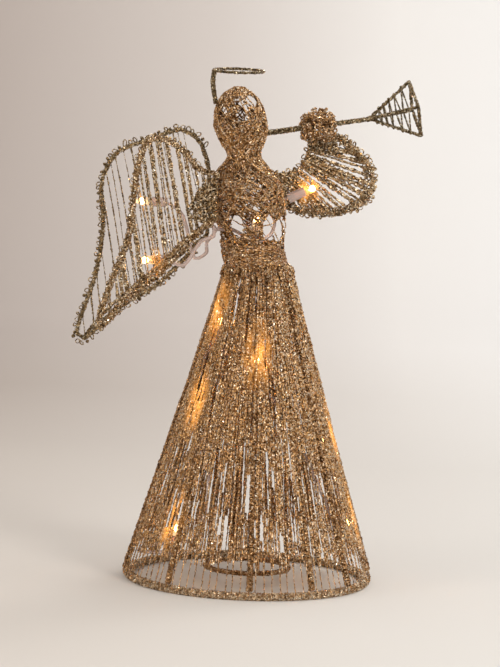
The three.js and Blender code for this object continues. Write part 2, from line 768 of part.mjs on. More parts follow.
// Inner edge from shoulder to wrist and outer edge back, as shares of the sleeve's reach and height.
const sleeveInnerShares = [
  [0.25, 0.5],
  [0.34, 0.575],
  [0.39, 0.7],
  [0.415, 0.82],
  [0.405, 0.925],
];
const sleeveOuterShares = [
  [0.55, 0.925],
  [0.69, 0.965],
  [0.8, 0.84],
  [0.93, 0.66],
  [0.98, 0.46],
  [0.955, 0.25],
  [0.87, 0.13],
  [0.76, 0.06],
  [0.58, 0.015],
  [0.4, 0.03],
];
const shoulderTop = bodiceLevel(shoulderTopShare);
const shoulderFoot = bodiceLevel(shoulderFootShare);
const sized = ([along, rise]) => [sleeveReach * along, sleeveHem + sleeveHeight * rise];
const flat = (rows) => rows.map(([along, height]) => new THREE.Vector3(along, height, 0));
const rowsOf = (points) => points.map((point) => [point.x, point.y]);
const sleeveInner = rowsOf(
  smooth(flat([[shoulderAt(shoulderTop), shoulderTop], ...sleeveInnerShares.map(sized)]), 10),
);
const sleeveOuter = rowsOf(
  smooth(flat([...sleeveOuterShares.map(sized), [shoulderAt(shoulderFoot), shoulderFoot]]), 20),
);
const shoulderSteps = 4;
const shoulderEdge = [];
for (let step = 1; step < shoulderSteps; step++) {
  const height = THREE.MathUtils.lerp(shoulderFoot, shoulderTop, step / shoulderSteps);
  shoulderEdge.push([shoulderAt(height), height]);
}
const sleeveOutline = [...sleeveInner, ...sleeveOuter, ...shoulderEdge];
addPiece(
  "sleeve_frame",
  closedWire(sleeveOutline.map((row) => sleevePanel.at(...row)), sleeveOff, edgeWire, 6),
  gold,
);

const strandInset = edgeWire + clearance + edgeStrand + edgeSlack;
const sleeveInside = drawnIn(sleeveOutline, strandInset);
const innerEdge = sleeveInside.slice(1, sleeveInner.length + 1);
const outerEdge = sleeveInside.slice(sleeveInner.length + 1, -shoulderSteps).reverse();
const sleeveStarts = [];
const sleeveEnds = [];
for (let pass = 0; pass < sleevePasses; pass++) {
  const share = (pass + 0.4) / sleevePasses;
  sleeveStarts.push(sleevePanel.at(...walk(outerEdge, lengthOf(outerEdge) * share * sleeveFanShare).place));
  sleeveEnds.push(sleevePanel.at(...walk(innerEdge, lengthOf(innerEdge) * share).place));
}
const sleeveStrands = windingPoints(sleeveStarts, sleeveEnds, edgeTurnRoom);
reportLeastGap("sleeve_strands", sleeveStrands, edgeStrand);
addPiece("sleeve_strands", wire(sleeveStrands, edgeStrand, 4), paleGold);

const sleeveLoops = loopedEdging(
  sleevePanel,
  sleeveOutline,
  sleeveInner.length + 1,
  sleeveOutline.length - 5,
  sleeveLoopCount,
);
reportLeastGap("sleeve_loops", sleeveLoops, loopWire);
addPiece("sleeve_loops", wire(sleeveLoops, loopWire, 3), paleGold);

// Wings: each turns on its own upright root wire, which stands just behind the bodice.
const tieReach = edgeWire + 2 * tieWire + clearance; // from a hinge line to a tie's outside
function backWallAt(height) {
  const radius = bodiceRadiusAt(height);
  return leanAt(height) - Math.sqrt(radius * radius - wingRootGap * wingRootGap);
}
const hingeX = Math.min(...tieHeights.map(backWallAt)) - tieReach - clearance - tieSlack;

// Outlines from the root's top round to its foot, as shares of a wing's breadth and height.
const wingShares = {
  left: [
    [0, 0.81],
    [0.075, 0.94],
    [0.21, 0.995],
    [0.46, 0.94],
    [0.69, 0.88],
    [0.805, 0.745],
    [0.785, 0.54],
    [0.82, 0.33],
    [0.955, 0.01],
    [0.91, 0],
    [0.675, 0.145],
    [0.35, 0.28],
    [0.15, 0.41],
    [0, 0.515],
  ],
  right: [
    [0, 0.81],
    [0.15, 0.83],
    [0.3, 0.92],
    [0.46, 0.97],
    [0.6, 0.975],
    [0.69, 0.875],
    [0.73, 0.685],
    [0.76, 0.525],
    [0.9, 0.325],
    [1, 0.13],
    [0.96, 0.135],
    [0.75, 0.25],
    [0.475, 0.36],
    [0.22, 0.505],
    [0, 0.605],
  ],
};
const wingOutlineSteps = 36;
// How far the strands lean outwards as they rise, in degrees, from the root to the tip.
const slantShares = [
  [0, 14],
  [0.75, 12],
  [1, 2],
];
// Where a strand's slant is read: a share of the wing's height, at the root and at the tip.
const strandLevelShares = [0.45, 0.2];
// Where each wing's lamp glows, as shares of the wing's breadth and height.
const wingLampShares = {
  left: [0.5, 0.66],
  right: [0.57, 0.42],
};

const lampSocketLength = lampBoreDepth + 2 * cordRadius + lampFloorWall;
const lampSeatRise = lampSocketLength - lampBoreDepth + clearance;
const lampGlassFoot = lampSocketLength + clearance;
const lampReach = lampGlassFoot + lampGlassLength / 2; // from a socket's foot to the middle of its glass
const cordEntry = cordRadius + clearance; // from a socket's foot to the wire through it

// Turns a piece made upright at the origin to point along a direction from a place.
function aimPiece(geometry, place, direction) {
  const turn = new THREE.Quaternion().setFromUnitVectors(new THREE.Vector3(0, 0, 1), direction);
  return geometry.applyQuaternion(turn).translate(...place.toArray());
}

function lampSocket(place, direction) {
  const bore = lampPlugRadius + clearance;
  const profile = [
    [0, 0],
    [lampSocketRadius, 0],
    [lampSocketRadius, lampSocketLength],
    [bore, lampSocketLength],
    [bore, lampSocketLength - lampBoreDepth],
    [0, lampSocketLength - lampBoreDepth],
  ];
  return aimPiece(turned(profile, lampSides), place, direction);
}

// The glass tapers to its tip: shares of its radius and its length.
const lampGlassShares = [
  [1, 0],
  [1, 0.4],
  [0.55, 0.82],
  [0, 1],
];

let lampCount = 0;
function addLamp(place, direction) {
  const profile = [
    [0, lampSeatRise],
    [lampPlugRadius, lampSeatRise],
    [lampPlugRadius, lampGlassFoot],
    ...lampGlassShares.map(([wide, rise]) => [
      lampGlassRadius * wide,
      lampGlassFoot + lampGlassLength * rise,
    ]),
  ];
  lampCount += 1;
  addPiece("lamp_" + lampCount, aimPiece(turned(profile, lampSides), place, direction), warmGlass);
}

// A lamp wire through chosen points, joined to the sockets that it feeds.
function addCord(name, points, sockets) {
  addPiece(name, joined([wire(through(points), cordRadius, cordSides), ...sockets]), clearCord);
}

const junctions = {};
for (const [sideName, side] of [
  ["left", 1],
  ["right", -1],
]) {
  const out = new THREE.Vector3(-Math.cos(wingSweep * degree), side * Math.sin(wingSweep * degree), 0);
  const inward = new THREE.Vector3(-Math.sin(wingSweep * degree), -side * Math.cos(wingSweep * degree), 0);
  const panel = new Panel(new THREE.Vector3(hingeX, side * wingRootGap, 0), out, inward);
  const shares = wingShares[sideName];
  const wingFoot = bodiceTop - wingRootDrop - wingHeight * shares[0][1];
  const edge = shares.map(([along, rise]) => [wingBreadth * along, wingFoot + wingHeight * rise]);
  const outline = rowsOf(smooth(flat(edge), wingOutlineSteps));
  const normal = inward.clone().multiplyScalar(side);
  const name = sideName + "_wing_";
  addPiece(name + "frame", closedWire(outline.map((row) => panel.at(...row)), normal, edgeWire, 6), gold);

  // The strands keep clear of the ties round the root wire.
  const tieRoom = tieReach + clearance + edgeStrand;
  const inside = drawnIn(outline, strandInset).map((row) => [Math.max(row[0], tieRoom), row[1]]);
  const levelAt = (share) => wingFoot + wingHeight * THREE.MathUtils.lerp(...strandLevelShares, share);
  const slantAt = (share) => Math.tan(shareAt(slantShares, share) * degree);
  const firstPass = Math.min(...inside.map((row) => row[0] - (row[1] - levelAt(0)) * slantAt(0)));
  const lastPass = Math.max(...inside.map((row) => row[0]));
  const starts = [];
  const ends = [];
  for (let pass = 0; pass < wingPasses; pass++) {
    const share = (pass + 1) / (wingPasses + 0.5);
    const along = THREE.MathUtils.lerp(firstPass, lastPass, share);
    const [low, high] = crossings(inside, along, slantAt(share), levelAt(share));
    starts.push(panel.at(...low));
    ends.push(panel.at(...high));
  }
  const strands = windingPoints(starts, ends, edgeTurnRoom);
  reportLeastGap(name + "strands", strands, edgeStrand);
  addPiece(name + "strands", wire(strands, edgeStrand, 4), paleGold);

  const loops = loopedEdging(panel, outline, 3, outline.length - 2, wingLoopCount);
  reportLeastGap(name + "loops", loops, loopWire);
  addPiece(name + "loops", wire(loops, loopWire, 3), paleGold);

  // A rib over the outer face follows the lower edge and lies over the frame at both ends.
  const lowerEdge = edge.slice(-5);
  const ribRise = (along) => wingRibInset * Math.sin(Math.PI * Math.min(1, Math.max(0, along)));
  const ribOff = -(edgeWire + wingRibWire + clearance);
  const ribPoints = lowerEdge.map(([along, height], i) =>
    panel.at(along, height + ribRise((i + 0.2) / (lowerEdge.length - 1)), ribOff),
  );
  addPiece(name + "rib", wire(smooth(ribPoints, 12), wingRibWire, 6), darkGold);

  // Ties: flat loops of wire that reach from the bodice round the root wire.
  tieHeights.forEach((height, i) => {
    const radius = bodiceRadiusAt(height);
    const hinge = new THREE.Vector3(hingeX, side * wingRootGap, height);
    const centre = new THREE.Vector3(leanAt(height), 0, height);
    const inwardRun = heading(hinge, centre);
    const across = new THREE.Vector3().crossVectors(new THREE.Vector3(0, 0, 1), inwardRun);
    const straight = hinge.distanceTo(centre) - radius - clearance - tieReach;
    const bend = edgeWire + clearance + tieWire;
    const loop = [];
    for (let step = 0; step < 12; step++) {
      const turn = (fullTurn * (step + 1 / 2)) / 12;
      const point = hinge.clone().addScaledVector(inwardRun, bend * Math.cos(turn));
      point.addScaledVector(inwardRun, Math.cos(turn) > 0 ? straight : 0);
      loop.push(point.addScaledVector(across, bend * Math.sin(turn)));
    }
    const tieName = name + "tie_" + (i === 0 ? "lower" : "upper");
    addPiece(tieName, closedWire(loop, new THREE.Vector3(0, 0, 1), tieWire, 5), darkGold);
  });

  // The wing's lamp hangs on the inner face; its wire starts on the hinge line, below the root.
  const rootFoot = edge[edge.length - 1][1];
  const junction = panel.at(0, rootFoot - junctionDrop);
  junctions[sideName] = junction;
  const lampOff = lampSocketRadius + edgeStrand + clearance + clearance;
  const [lampAlong, lampRise] = wingLampShares[sideName];
  const lampHeight = wingFoot + wingHeight * lampRise;
  const socketFoot = wingBreadth * lampAlong - lampReach;
  const place = panel.at(socketFoot, lampHeight, lampOff);
  const fall = junction.z - lampHeight;
  addCord(
    name + "lamp_wire",
    [
      junction.clone(),
      panel.at(0, junction.z - 3 * cordRadius, 0),
      panel.at(wingBreadth * 0.08, junction.z - 6 * cordRadius, lampOff),
      panel.at(socketFoot * 0.6, lampHeight + fall * 0.1 - 5 * cordRadius, lampOff),
      panel.at(socketFoot - 3 * cordRadius, lampHeight - 2 * cordRadius, lampOff),
      panel.at(socketFoot + cordEntry, lampHeight, lampOff),
    ],
    [lampSocket(place, out)],
  );
  addLamp(place, out);
}

// Skirt lamps stand against the wall of the skirt, pointing up it: [angle, share of the waist's
// height where the glass is].
const skirtLampShares = [
  [-150, 0.199],
  [-157, 0.575],
  [-168, 0.85],
  [-102, 0.737],
  [-21, 0.473],
  [-22, 0.204],
];
const wallLean = Math.atan((hemRadius - waistRadius) / (waistHeight - hemHeight));
function wallUp(angle) {
  return polar(angle, -Math.sin(wallLean), Math.cos(wallLean));
}
function insideWall(angle, share, drop = 0) {
  const height = waistHeight * share - drop;
  return polar(angle, skirtRadiusAt(height) - lampWallGap, height);
}
const lampFeet = skirtLampShares.map((row) => insideWall(...row, lampReach * Math.cos(wallLean)));
const entry = (i) => lampFeet[i].clone().addScaledVector(wallUp(skirtLampShares[i][0]), cordEntry);
const skirtCord = [
  insideWall(100, 0.065),
  insideWall(140, 0.07),
  insideWall(178, 0.091),
  entry(0),
  insideWall(-135, 0.145),
  insideWall(-133, 0.323),
  insideWall(-143, 0.462),
  entry(1),
  insideWall(-172, 0.521),
  insideWall(176, 0.634),
  insideWall(175, 0.742),
  entry(2),
  insideWall(-145, 0.758),
  insideWall(-122, 0.677),
  entry(3),
  insideWall(-82, 0.602),
  insideWall(-60, 0.43),
  insideWall(-40, 0.183),
  entry(5),
  insideWall(-6, 0.145),
  insideWall(-3, 0.323),
  entry(4),
  insideWall(-36, 0.452),
  insideWall(-34, 0.602),
  insideWall(10, 0.78),
  insideWall(60, 0.903),
  polar(75, socketTopRadius - socketWire - 3 * cordRadius, waistHeight),
];
const skirtSockets = skirtLampShares.map(([angle], i) => lampSocket(lampFeet[i], wallUp(angle)));
addCord("skirt_lamp_wire", skirtCord, skirtSockets);
skirtLampShares.forEach(([angle], i) => addLamp(lampFeet[i], wallUp(angle)));

// Upper wire: up through the waist to the chest lamp, out to the sleeve lamp and back to each wing.
const upward = new THREE.Vector3(0, 0, 1);
const chestFoot = new THREE.Vector3(
  leanAt(bodiceFoot) + chestLampAhead,
  -chestLampAside,
  bodiceFoot - chestLampSink,
);
const waistEnd = skirtCord[skirtCord.length - 1];
const sleeveLampOff = -(lampSocketRadius + edgeStrand + clearance + clearance);
const sleeveLampAim = aimed(sleeveYaw, sleeveLampPitch);
const sleeveGlass = sleevePanel.at(...sized(sleeveLampShares), sleeveLampOff);
const sleeveFoot = sleeveGlass.clone().addScaledVector(sleeveLampAim, -lampReach);
const sleevePort = polar(sleevePortAngle, bodiceRadiusAt(sleevePortHeight), sleevePortHeight);
sleevePort.x += leanAt(sleevePortHeight);
const portInside = sleevePort.clone();
portInside.x -= 5.3 * cordRadius;
portInside.y -= 1.5 * cordRadius;
portInside.z -= 5.5 * cordRadius;
const upperCord = [
  waistEnd.clone().addScaledVector(upward, clearance),
  new THREE.Vector3(
    waistEnd.x - 1.8 * cordRadius,
    waistEnd.y - 3.6 * cordRadius,
    waistHeight + 8.2 * cordRadius,
  ),
  chestFoot.clone().addScaledVector(upward, cordEntry),
  new THREE.Vector3(4.5 * cordRadius, -5.5 * cordRadius, bodiceFoot + cordRadius),
  new THREE.Vector3(8.2 * cordRadius, 0, bodiceFoot + 8.2 * cordRadius),
  portInside,
  sleevePort,
  sleeveFoot.clone().addScaledVector(sleeveLampAim, cordEntry),
];
const wingLeads = Object.entries(junctions).map(([sideName, junction]) => {
  const side = sideName === "left" ? 1 : -1;
  const outX = leanAt(backPortHeight) - bodiceRadiusAt(backPortHeight);
  const between = side * wingRootGap * 0.45;
  const lead = [
    new THREE.Vector3(chestFoot.x, chestFoot.y, chestFoot.z + cordEntry),
    new THREE.Vector3(outX + 8.2 * cordRadius, between * 0.8, backPortHeight - cordRadius),
    new THREE.Vector3(outX, between, backPortHeight),
    new THREE.Vector3(outX - cordPort, between, THREE.MathUtils.lerp(backPortHeight, junction.z, 0.36)),
    new THREE.Vector3(junction.x, junction.y, junction.z + 2.5 * cordRadius),
    new THREE.Vector3(junction.x, junction.y, junction.z + clearance),
  ];
  return wire(through(lead), cordRadius, cordSides);
});
const upperSockets = [lampSocket(chestFoot, upward), lampSocket(sleeveFoot, sleeveLampAim)];
addCord("upper_lamp_wire", upperCord, [...upperSockets, ...wingLeads]);
addLamp(chestFoot, upward);
addLamp(sleeveFoot, sleeveLampAim);

export default topper;
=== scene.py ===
"""Looks of a wire angel tree topper: glitter coats, wound threads, looped edging and lit lamps.

Metres, in the frame of the CAD part: +Z up, the figure looks along +X and its left is +Y.
"""

import json
import logging
import math
import random
from dataclasses import dataclass
from enum import Enum

import bpy
from mathutils import Matrix, Vector


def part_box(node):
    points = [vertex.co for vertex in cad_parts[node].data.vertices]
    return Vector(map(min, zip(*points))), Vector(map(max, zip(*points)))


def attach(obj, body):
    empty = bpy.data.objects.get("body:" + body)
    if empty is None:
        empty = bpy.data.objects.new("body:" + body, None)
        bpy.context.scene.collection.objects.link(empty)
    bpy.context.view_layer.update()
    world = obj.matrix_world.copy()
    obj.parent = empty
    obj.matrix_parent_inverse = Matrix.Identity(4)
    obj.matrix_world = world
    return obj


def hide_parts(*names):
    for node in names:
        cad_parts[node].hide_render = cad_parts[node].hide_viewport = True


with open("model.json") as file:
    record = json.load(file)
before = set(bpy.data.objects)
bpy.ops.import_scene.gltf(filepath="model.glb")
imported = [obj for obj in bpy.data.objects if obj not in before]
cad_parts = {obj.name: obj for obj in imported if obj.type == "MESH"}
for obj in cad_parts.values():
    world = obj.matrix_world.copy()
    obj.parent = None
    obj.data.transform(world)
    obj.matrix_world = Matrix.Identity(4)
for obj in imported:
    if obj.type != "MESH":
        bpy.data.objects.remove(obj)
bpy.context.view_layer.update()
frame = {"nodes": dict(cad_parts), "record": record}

MM = 0.001
ROOT_BODY = "topper"
MERGE_DISTANCE = 0.001 * MM
CURVE_STEPS = 24  # between two chosen points of a smooth line
LOG = logging.getLogger("topper")

Place = tuple[float, float, float]
Colour = Place
Line = list[Vector]
Span = tuple[float, float]
Rows = tuple[Span, ...]
Openings = tuple[tuple[float, float, float, float], ...]
Tones = tuple[tuple[float, Colour], ...]


# Workbench: selecting, adding, shaping and joining, as by hand


def select_only(*objects: bpy.types.Object) -> None:
    """Deselects everything, then selects these objects and makes the first one active.

    Args:
        objects: The objects to select.
    """
    bpy.ops.object.select_all(action="DESELECT")
    for item in objects:
        item.select_set(True)
    bpy.context.view_layer.objects.active = objects[0]


def edit(select: str, mode: str = "FACE") -> None:
    """Opens the active mesh for editing and selects all or none of it.

    Args:
        select: "SELECT" or "DESELECT".
        mode: What is selected: "FACE" or "EDGE".
    """
    bpy.ops.object.mode_set(mode="EDIT")
    bpy.ops.mesh.select_mode(type=mode)
    bpy.ops.mesh.select_all(action=select)


def show(name: str, data: bpy.types.ID) -> bpy.types.Object:
    """Puts a new object in the scene.

    Args:
        name: The object's name.
        data: The mesh, curve, light or camera that it shows.

    Returns:
        The object.
    """
    made = bpy.data.objects.new(name, data)
    bpy.context.scene.collection.objects.link(made)
    return made


def apply_modifier(piece: bpy.types.Object, kind: str, **settings: object) -> None:
    """Adds a modifier to a piece, sets it and applies it.

    Args:
        piece: The mesh object to change.
        kind: Blender's name for the kind of modifier.
        settings: The modifier's own values.
    """
    select_only(piece)
    modifier = piece.modifiers.new(kind.lower(), kind)
    for key, value in settings.items():
        setattr(modifier, key, value)
    bpy.ops.object.modifier_apply(modifier=modifier.name)


def join(name: str, parts: list[bpy.types.Object]) -> bpy.types.Object:
    """Joins mesh objects into one piece.

    Args:
        name: The joined piece's name.
        parts: The objects to join.

    Returns:
        The joined object.
    """
    select_only(*parts)
    if len(parts) > 1:
        bpy.ops.object.join()
    piece = bpy.context.view_layer.objects.active
    piece.name = name
    piece.data.name = name
    return piece


def copy_of_nodes(name: str, nodes: list[str]) -> bpy.types.Object:
    """Copies the meshes of CAD nodes into one new object at the origin.

    Args:
        name: The new object's name.
        nodes: The CAD nodes to copy.

    Returns:
        The new object, with its doubled points merged.
    """
    copies = []
    for node in nodes:
        copies.append(show(name, frame["nodes"][node].data.copy()))
        copies[-1].matrix_world = frame["nodes"][node].matrix_world
    piece = join(name, copies)
    bpy.ops.object.transform_apply(location=True, rotation=True, scale=True)
    edit("SELECT")
    bpy.ops.mesh.remove_doubles(threshold=MERGE_DISTANCE)
    bpy.ops.object.mode_set(mode="OBJECT")
    piece.data.materials.clear()
    return piece


@dataclass
class Thread:
    """One thread's route: its points and the radius at each of them."""

    points: Line
    radii: list[float]
    closed: bool = False


def threads(name: str, routes: list[Thread]) -> bpy.types.Object:
    """Lays four-sided threads as bevelled curves and turns them into one mesh.

    Args:
        name: The new piece's name.
        routes: The threads' routes.

    Returns:
        The mesh object.
    """
    data = bpy.data.curves.new(name, "CURVE")
    data.dimensions = "3D"
    data.bevel_depth = 1.0
    data.bevel_resolution = 0
    data.use_fill_caps = True
    for route in routes:
        spline = data.splines.new("POLY")
        spline.points.add(len(route.points) - 1)
        for spot, place, radius in zip(spline.points, route.points, route.radii):
            spot.co = (*place, 1.0)
            spot.radius = radius
        spline.use_cyclic_u = route.closed
    select_only(show(name, data))
    bpy.ops.object.convert(target="MESH")
    piece = bpy.context.view_layer.objects.active
    piece.name = name
    return piece


class Grain(float, Enum):
    """How far a thread's radius strays, as a share of it."""

    FINE = 0.3
    MIDDLING = 0.35
    COARSE = 0.4
    COARSEST = 0.45


def knobbly(
    points: Line, radius: float, uneven: Grain, rng: random.Random, closed: bool = False
) -> Thread:
    """A thread of uneven thickness, as glitter makes it.

    Args:
        points: The thread's points.
        radius: Its middling radius.
        uneven: How far the radius strays, as a share of it.
        rng: The source of randomness.
        closed: Whether it runs back to its first point.

    Returns:
        The thread.
    """
    return Thread(points, [radius * (1 + uneven * rng.uniform(-1, 1)) for _ in points], closed)


def any_way(rng: random.Random) -> Vector:
    """Returns a random direction."""
    return Vector([rng.uniform(-1, 1) for _ in range(3)]).normalized()


def outward(angle: float) -> Vector:
    """Returns the level direction at a polar angle."""
    return Vector((math.cos(angle), math.sin(angle), 0))


def ring(middle: Vector, first: Vector, second: Vector, reaches: list[float]) -> Line:
    """A loop of points round a middle.

    Args:
        middle: The middle.
        first: The way to the first point.
        second: The way to the point a quarter turn on.
        reaches: How far from the middle each point lies.

    Returns:
        The loop.
    """
    turns = [math.tau * step / len(reaches) for step in range(len(reaches))]
    return [
        middle + (first * math.cos(turn) + second * math.sin(turn)) * reach
        for turn, reach in zip(turns, reaches)
    ]


def finely(points: Line, step: float, closed: bool = False) -> Line:
    """Splits a line into steps of about one length.

    Args:
        points: The line's points.
        step: The length of a step.
        closed: Whether the line runs back to its first point.

    Returns:
        The finer line.
    """
    corners = points + points[:1] if closed else points
    line: Line = []
    for start, end in zip(corners, corners[1:]):
        count = max(1, round((end - start).length / step))
        line += [start.lerp(end, i / count) for i in range(count)]
    return line if closed else line + [corners[-1].copy()]


def walk_evenly(points: Line, steps: int) -> Line:
    """Points at even distances along a line.

    Args:
        points: The line.
        steps: How many spans the result has.

    Returns:
        The line, one point longer than its spans.
    """
    lengths = [(b - a).length for a, b in zip(points, points[1:])]
    total = sum(lengths)
    line: Line = []
    index, passed = 0, 0.0
    for i in range(steps + 1):
        target = total * i / steps
        while index < len(lengths) - 1 and passed + lengths[index] < target:
            passed += lengths[index]
            index += 1
        share = min(1.0, (target - passed) / lengths[index])
        line.append(points[index].lerp(points[index + 1], share))
    return line


def smooth_line(points: Line, steps: int) -> Line:
    """Evenly spaced points on a smooth line through chosen ones.

    Args:
        points: The chosen points.
        steps: How many spans the result has.

    Returns:
        The line, one point longer than its spans.
    """
    ends = [2 * points[0] - points[1], *points, 2 * points[-1] - points[-2]]
    dense: Line = []
    for a, b, c, d in zip(ends, ends[1:], ends[2:], ends[3:]):
        ta, tb, tc = ((q - p).length ** 0.5 or 1.0 for p, q in ((a, b), (b, c), (c, d)))
        into = ((b - a) / ta - (c - a) / (ta + tb) + (c - b) / tb) * tb
        away = ((c - b) / tb - (d - b) / (tb + tc) + (d - c) / tc) * tb
        square = 3 * c - 3 * b - 2 * into - away
        cube = 2 * b - 2 * c + into + away
        for i in range(CURVE_STEPS):
            t = i / CURVE_STEPS
            dense.append(b + into * t + square * t * t + cube * t * t * t)
    dense.append(points[-1].copy())
    return walk_evenly(dense, steps)


def read_table(rows: Rows, at: float) -> float:
    """Reads a table of places and values.

    Args:
        rows: The table.
        at: The place.

    Returns:
        The value there.
    """
    if at <= rows[0][0]:
        return rows[0][1]
    for (low, a), (high, b) in zip(rows, rows[1:]):
        if at <= high:
            return a + (b - a) * (at - low) / (high - low)
    return rows[-1][1]


# Finishes


class Coat(Enum):
    """The names of the record's material slots."""

    GLITTER = "gold_glitter"
    DARK = "dark_gold"
    PALE = "pale_gold"
    CORD = "clear_cord"
    GLASS = "warm_glass"


class Wiring:
    """Adds nodes to a node tree, and sets or joins their inputs."""

    def __init__(self, tree: bpy.types.NodeTree) -> None:
        """Takes the tree to work on."""
        self.tree = tree

    def feed(self, node: bpy.types.Node, inputs: dict[int | str, object]) -> None:
        """Sets a node's inputs, or joins those whose value is another node's output.

        Args:
            node: The node.
            inputs: Values or outputs for its inputs, by name or number.
        """
        for key, value in inputs.items():
            if isinstance(value, bpy.types.NodeSocket):
                self.tree.links.new(value, node.inputs[key])
            else:
                node.inputs[key].default_value = value

    def add(
        self, kind: str, inputs: dict[int | str, object] | None = None, **settings: object
    ) -> bpy.types.Node:
        """Adds a node.

        Args:
            kind: Blender's name for the kind of node.
            inputs: Values or outputs for its inputs, by name or number.
            settings: The node's own settings.

        Returns:
            The node.
        """
        node = self.tree.nodes.new(kind)
        for key, value in settings.items():
            setattr(node, key, value)
        self.feed(node, inputs or {})
        return node

    def vector(self, operation: str, *inputs: object) -> bpy.types.NodeSocket:
        """Returns what a vector operation makes of its inputs."""
        node = self.add("ShaderNodeVectorMath", dict(enumerate(inputs)), operation=operation)
        return node.outputs["Value" if operation == "LENGTH" else "Vector"]

    def number(self, operation: str, *inputs: object) -> bpy.types.NodeSocket:
        """Returns what an operation makes of its numbers."""
        node = self.add("ShaderNodeMath", dict(enumerate(inputs)), operation=operation)
        return node.outputs["Value"]

    def mapped(
        self,
        value: bpy.types.NodeSocket,
        low: float,
        high: float,
        start: float = 0.0,
        end: float = 1.0,
        **settings: object,
    ) -> bpy.types.NodeSocket:
        """Maps a number from one range to another.

        Args:
            value: The number.
            low: Where the first range starts.
            high: Where it ends.
            start: Where the second range starts.
            end: Where it ends.
            settings: The node's own settings.

        Returns:
            The mapped number.
        """
        inputs = {"Value": value, "From Min": low, "From Max": high, "To Min": start, "To Max": end}
        return self.add("ShaderNodeMapRange", inputs, **settings).outputs["Result"]

    def ramp(self, factor: bpy.types.NodeSocket, stops: Tones) -> bpy.types.NodeSocket:
        """Returns the colour that a ramp has at a factor.

        Args:
            factor: Where the ramp is read.
            stops: Places and linear colours, in order.

        Returns:
            The colour.
        """
        node = self.add("ShaderNodeValToRGB", {"Fac": factor})
        elements = node.color_ramp.elements
        while len(elements) < len(stops):
            elements.new(0.5)
        for element, (place, colour) in zip(elements, stops):
            element.position = place
            element.color = (*colour, 1.0)
        return node.outputs["Color"]

    def blend(self, how: str, factor: object, *colours: object) -> bpy.types.NodeSocket:
        """Returns two colours blended in the named way."""
        inputs = {"Factor": factor, **dict(zip("AB", colours))}
        return self.add("ShaderNodeMix", inputs, data_type="RGBA", blend_type=how).outputs["Result"]

    def noise(self, scale: float, place: bpy.types.NodeSocket) -> bpy.types.NodeSocket:
        """Returns a fine noise at a place."""
        return self.add("ShaderNodeTexNoise", {"Scale": scale, "Vector": place}).outputs["Fac"]

    def place(self) -> bpy.types.NodeSocket:
        """Returns the place on the object, in its own coordinates."""
        return self.add("ShaderNodeTexCoord").outputs["Object"]


# Painted glow: glitter near each lamp, and the head, shine amber as emission that stands in for
# lamp light.
class LampGlow:
    """A node group that gives how near a place is to the lit lamps, from 0 to 1 and above."""

    NAME = "lamp_glow"
    COLOUR = (1.0, 0.42, 0.07, 1.0)
    REACH = 12.0 * MM
    UPRIGHT_HEIGHT = 12.0 * MM  # a lamp taller than this stands upright, and its glow is drawn out
    DRAWN_OUT = 0.28
    # The head's painted glow stands in for light from the chest.
    HEAD = (Vector((-14.5, 0.0, 270.0)) * MM, 1.0, 19.0 * MM, 0.22)  # lit from the chest
    STREAK_SCALE = 320.0
    STREAK_HEIGHT = 0.07
    STREAKS = (0.36, 0.66, 0.1, 1.9)  # from these two noises to these two shares of the glow

    @classmethod
    def group(cls) -> bpy.types.NodeTree:
        """Makes the node group once, from where the lamps stand in the frame.

        Returns:
            The node group.
        """
        found = bpy.data.node_groups.get(cls.NAME)
        if found:
            return found
        group = bpy.data.node_groups.new(cls.NAME, "ShaderNodeTree")
        group.interface.new_socket("Glow", in_out="OUTPUT", socket_type="NodeSocketFloat")
        desk = Wiring(group)
        place = desk.place()
        glows = []
        for node in sorted(name for name in frame["nodes"] if name.startswith("lamp_")):
            low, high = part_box(node)
            upright = cls.DRAWN_OUT if high[2] - low[2] > cls.UPRIGHT_HEIGHT else 1.0
            glows.append(((Vector(low) + Vector(high)) / 2, upright, cls.REACH, 1.0))
        total: object = 0.0
        for centre, upright, reach, strength in [*glows, cls.HEAD]:
            shift = (-centre.x, -centre.y, -upright * centre.z)
            apart = desk.vector("MULTIPLY_ADD", place, (1.0, 1.0, upright), shift)
            away = desk.vector("LENGTH", apart)
            near = desk.mapped(away, reach, 0.0, end=strength, interpolation_type="SMOOTHERSTEP")
            total = desk.number("ADD", total, near)
        drawn = desk.vector("MULTIPLY", place, (1.0, 1.0, cls.STREAK_HEIGHT))
        share = desk.mapped(desk.noise(cls.STREAK_SCALE, drawn), *cls.STREAKS)
        desk.add("NodeGroupOutput", {"Glow": desk.number("MULTIPLY", total, share)})
        return group

    @classmethod
    def add_to(cls, desk: Wiring, shader: bpy.types.Node, strength: float) -> None:
        """Paints an amber glow as emission where a shader lies near a lamp, standing in for lamp
        light in the glitter.

        Args:
            desk: The material's nodes.
            shader: Its Principled shader.
            strength: The glow's strength at a lamp.
        """
        glow = desk.add("ShaderNodeGroup", node_tree=cls.group())
        scaled = desk.number("MULTIPLY", glow.outputs["Glow"], strength)
        desk.feed(shader, {"Emission Strength": scaled, "Emission Color": cls.COLOUR})


@dataclass(frozen=True)
class Finish:
    """What a piece is finished in; each kind of finish paints its own shader."""

    name: str

    def material(self) -> bpy.types.Material:
        """Makes the finish as a Blender material, once.

        Returns:
            The material.
        """
        found = bpy.data.materials.get(self.name)
        if found:
            return found
        material = bpy.data.materials.new(self.name)
        material.use_nodes = True
        nodes = material.node_tree.nodes
        shader = next(node for node in nodes if node.type == "BSDF_PRINCIPLED")
        self.paint(Wiring(material.node_tree), shader)
        return material

    def paint(self, desk: Wiring, shader: bpy.types.Node) -> None:
        """Sets the material's Principled shader.

        Args:
            desk: The material's nodes.
            shader: Its Principled shader.
        """
        raise NotImplementedError


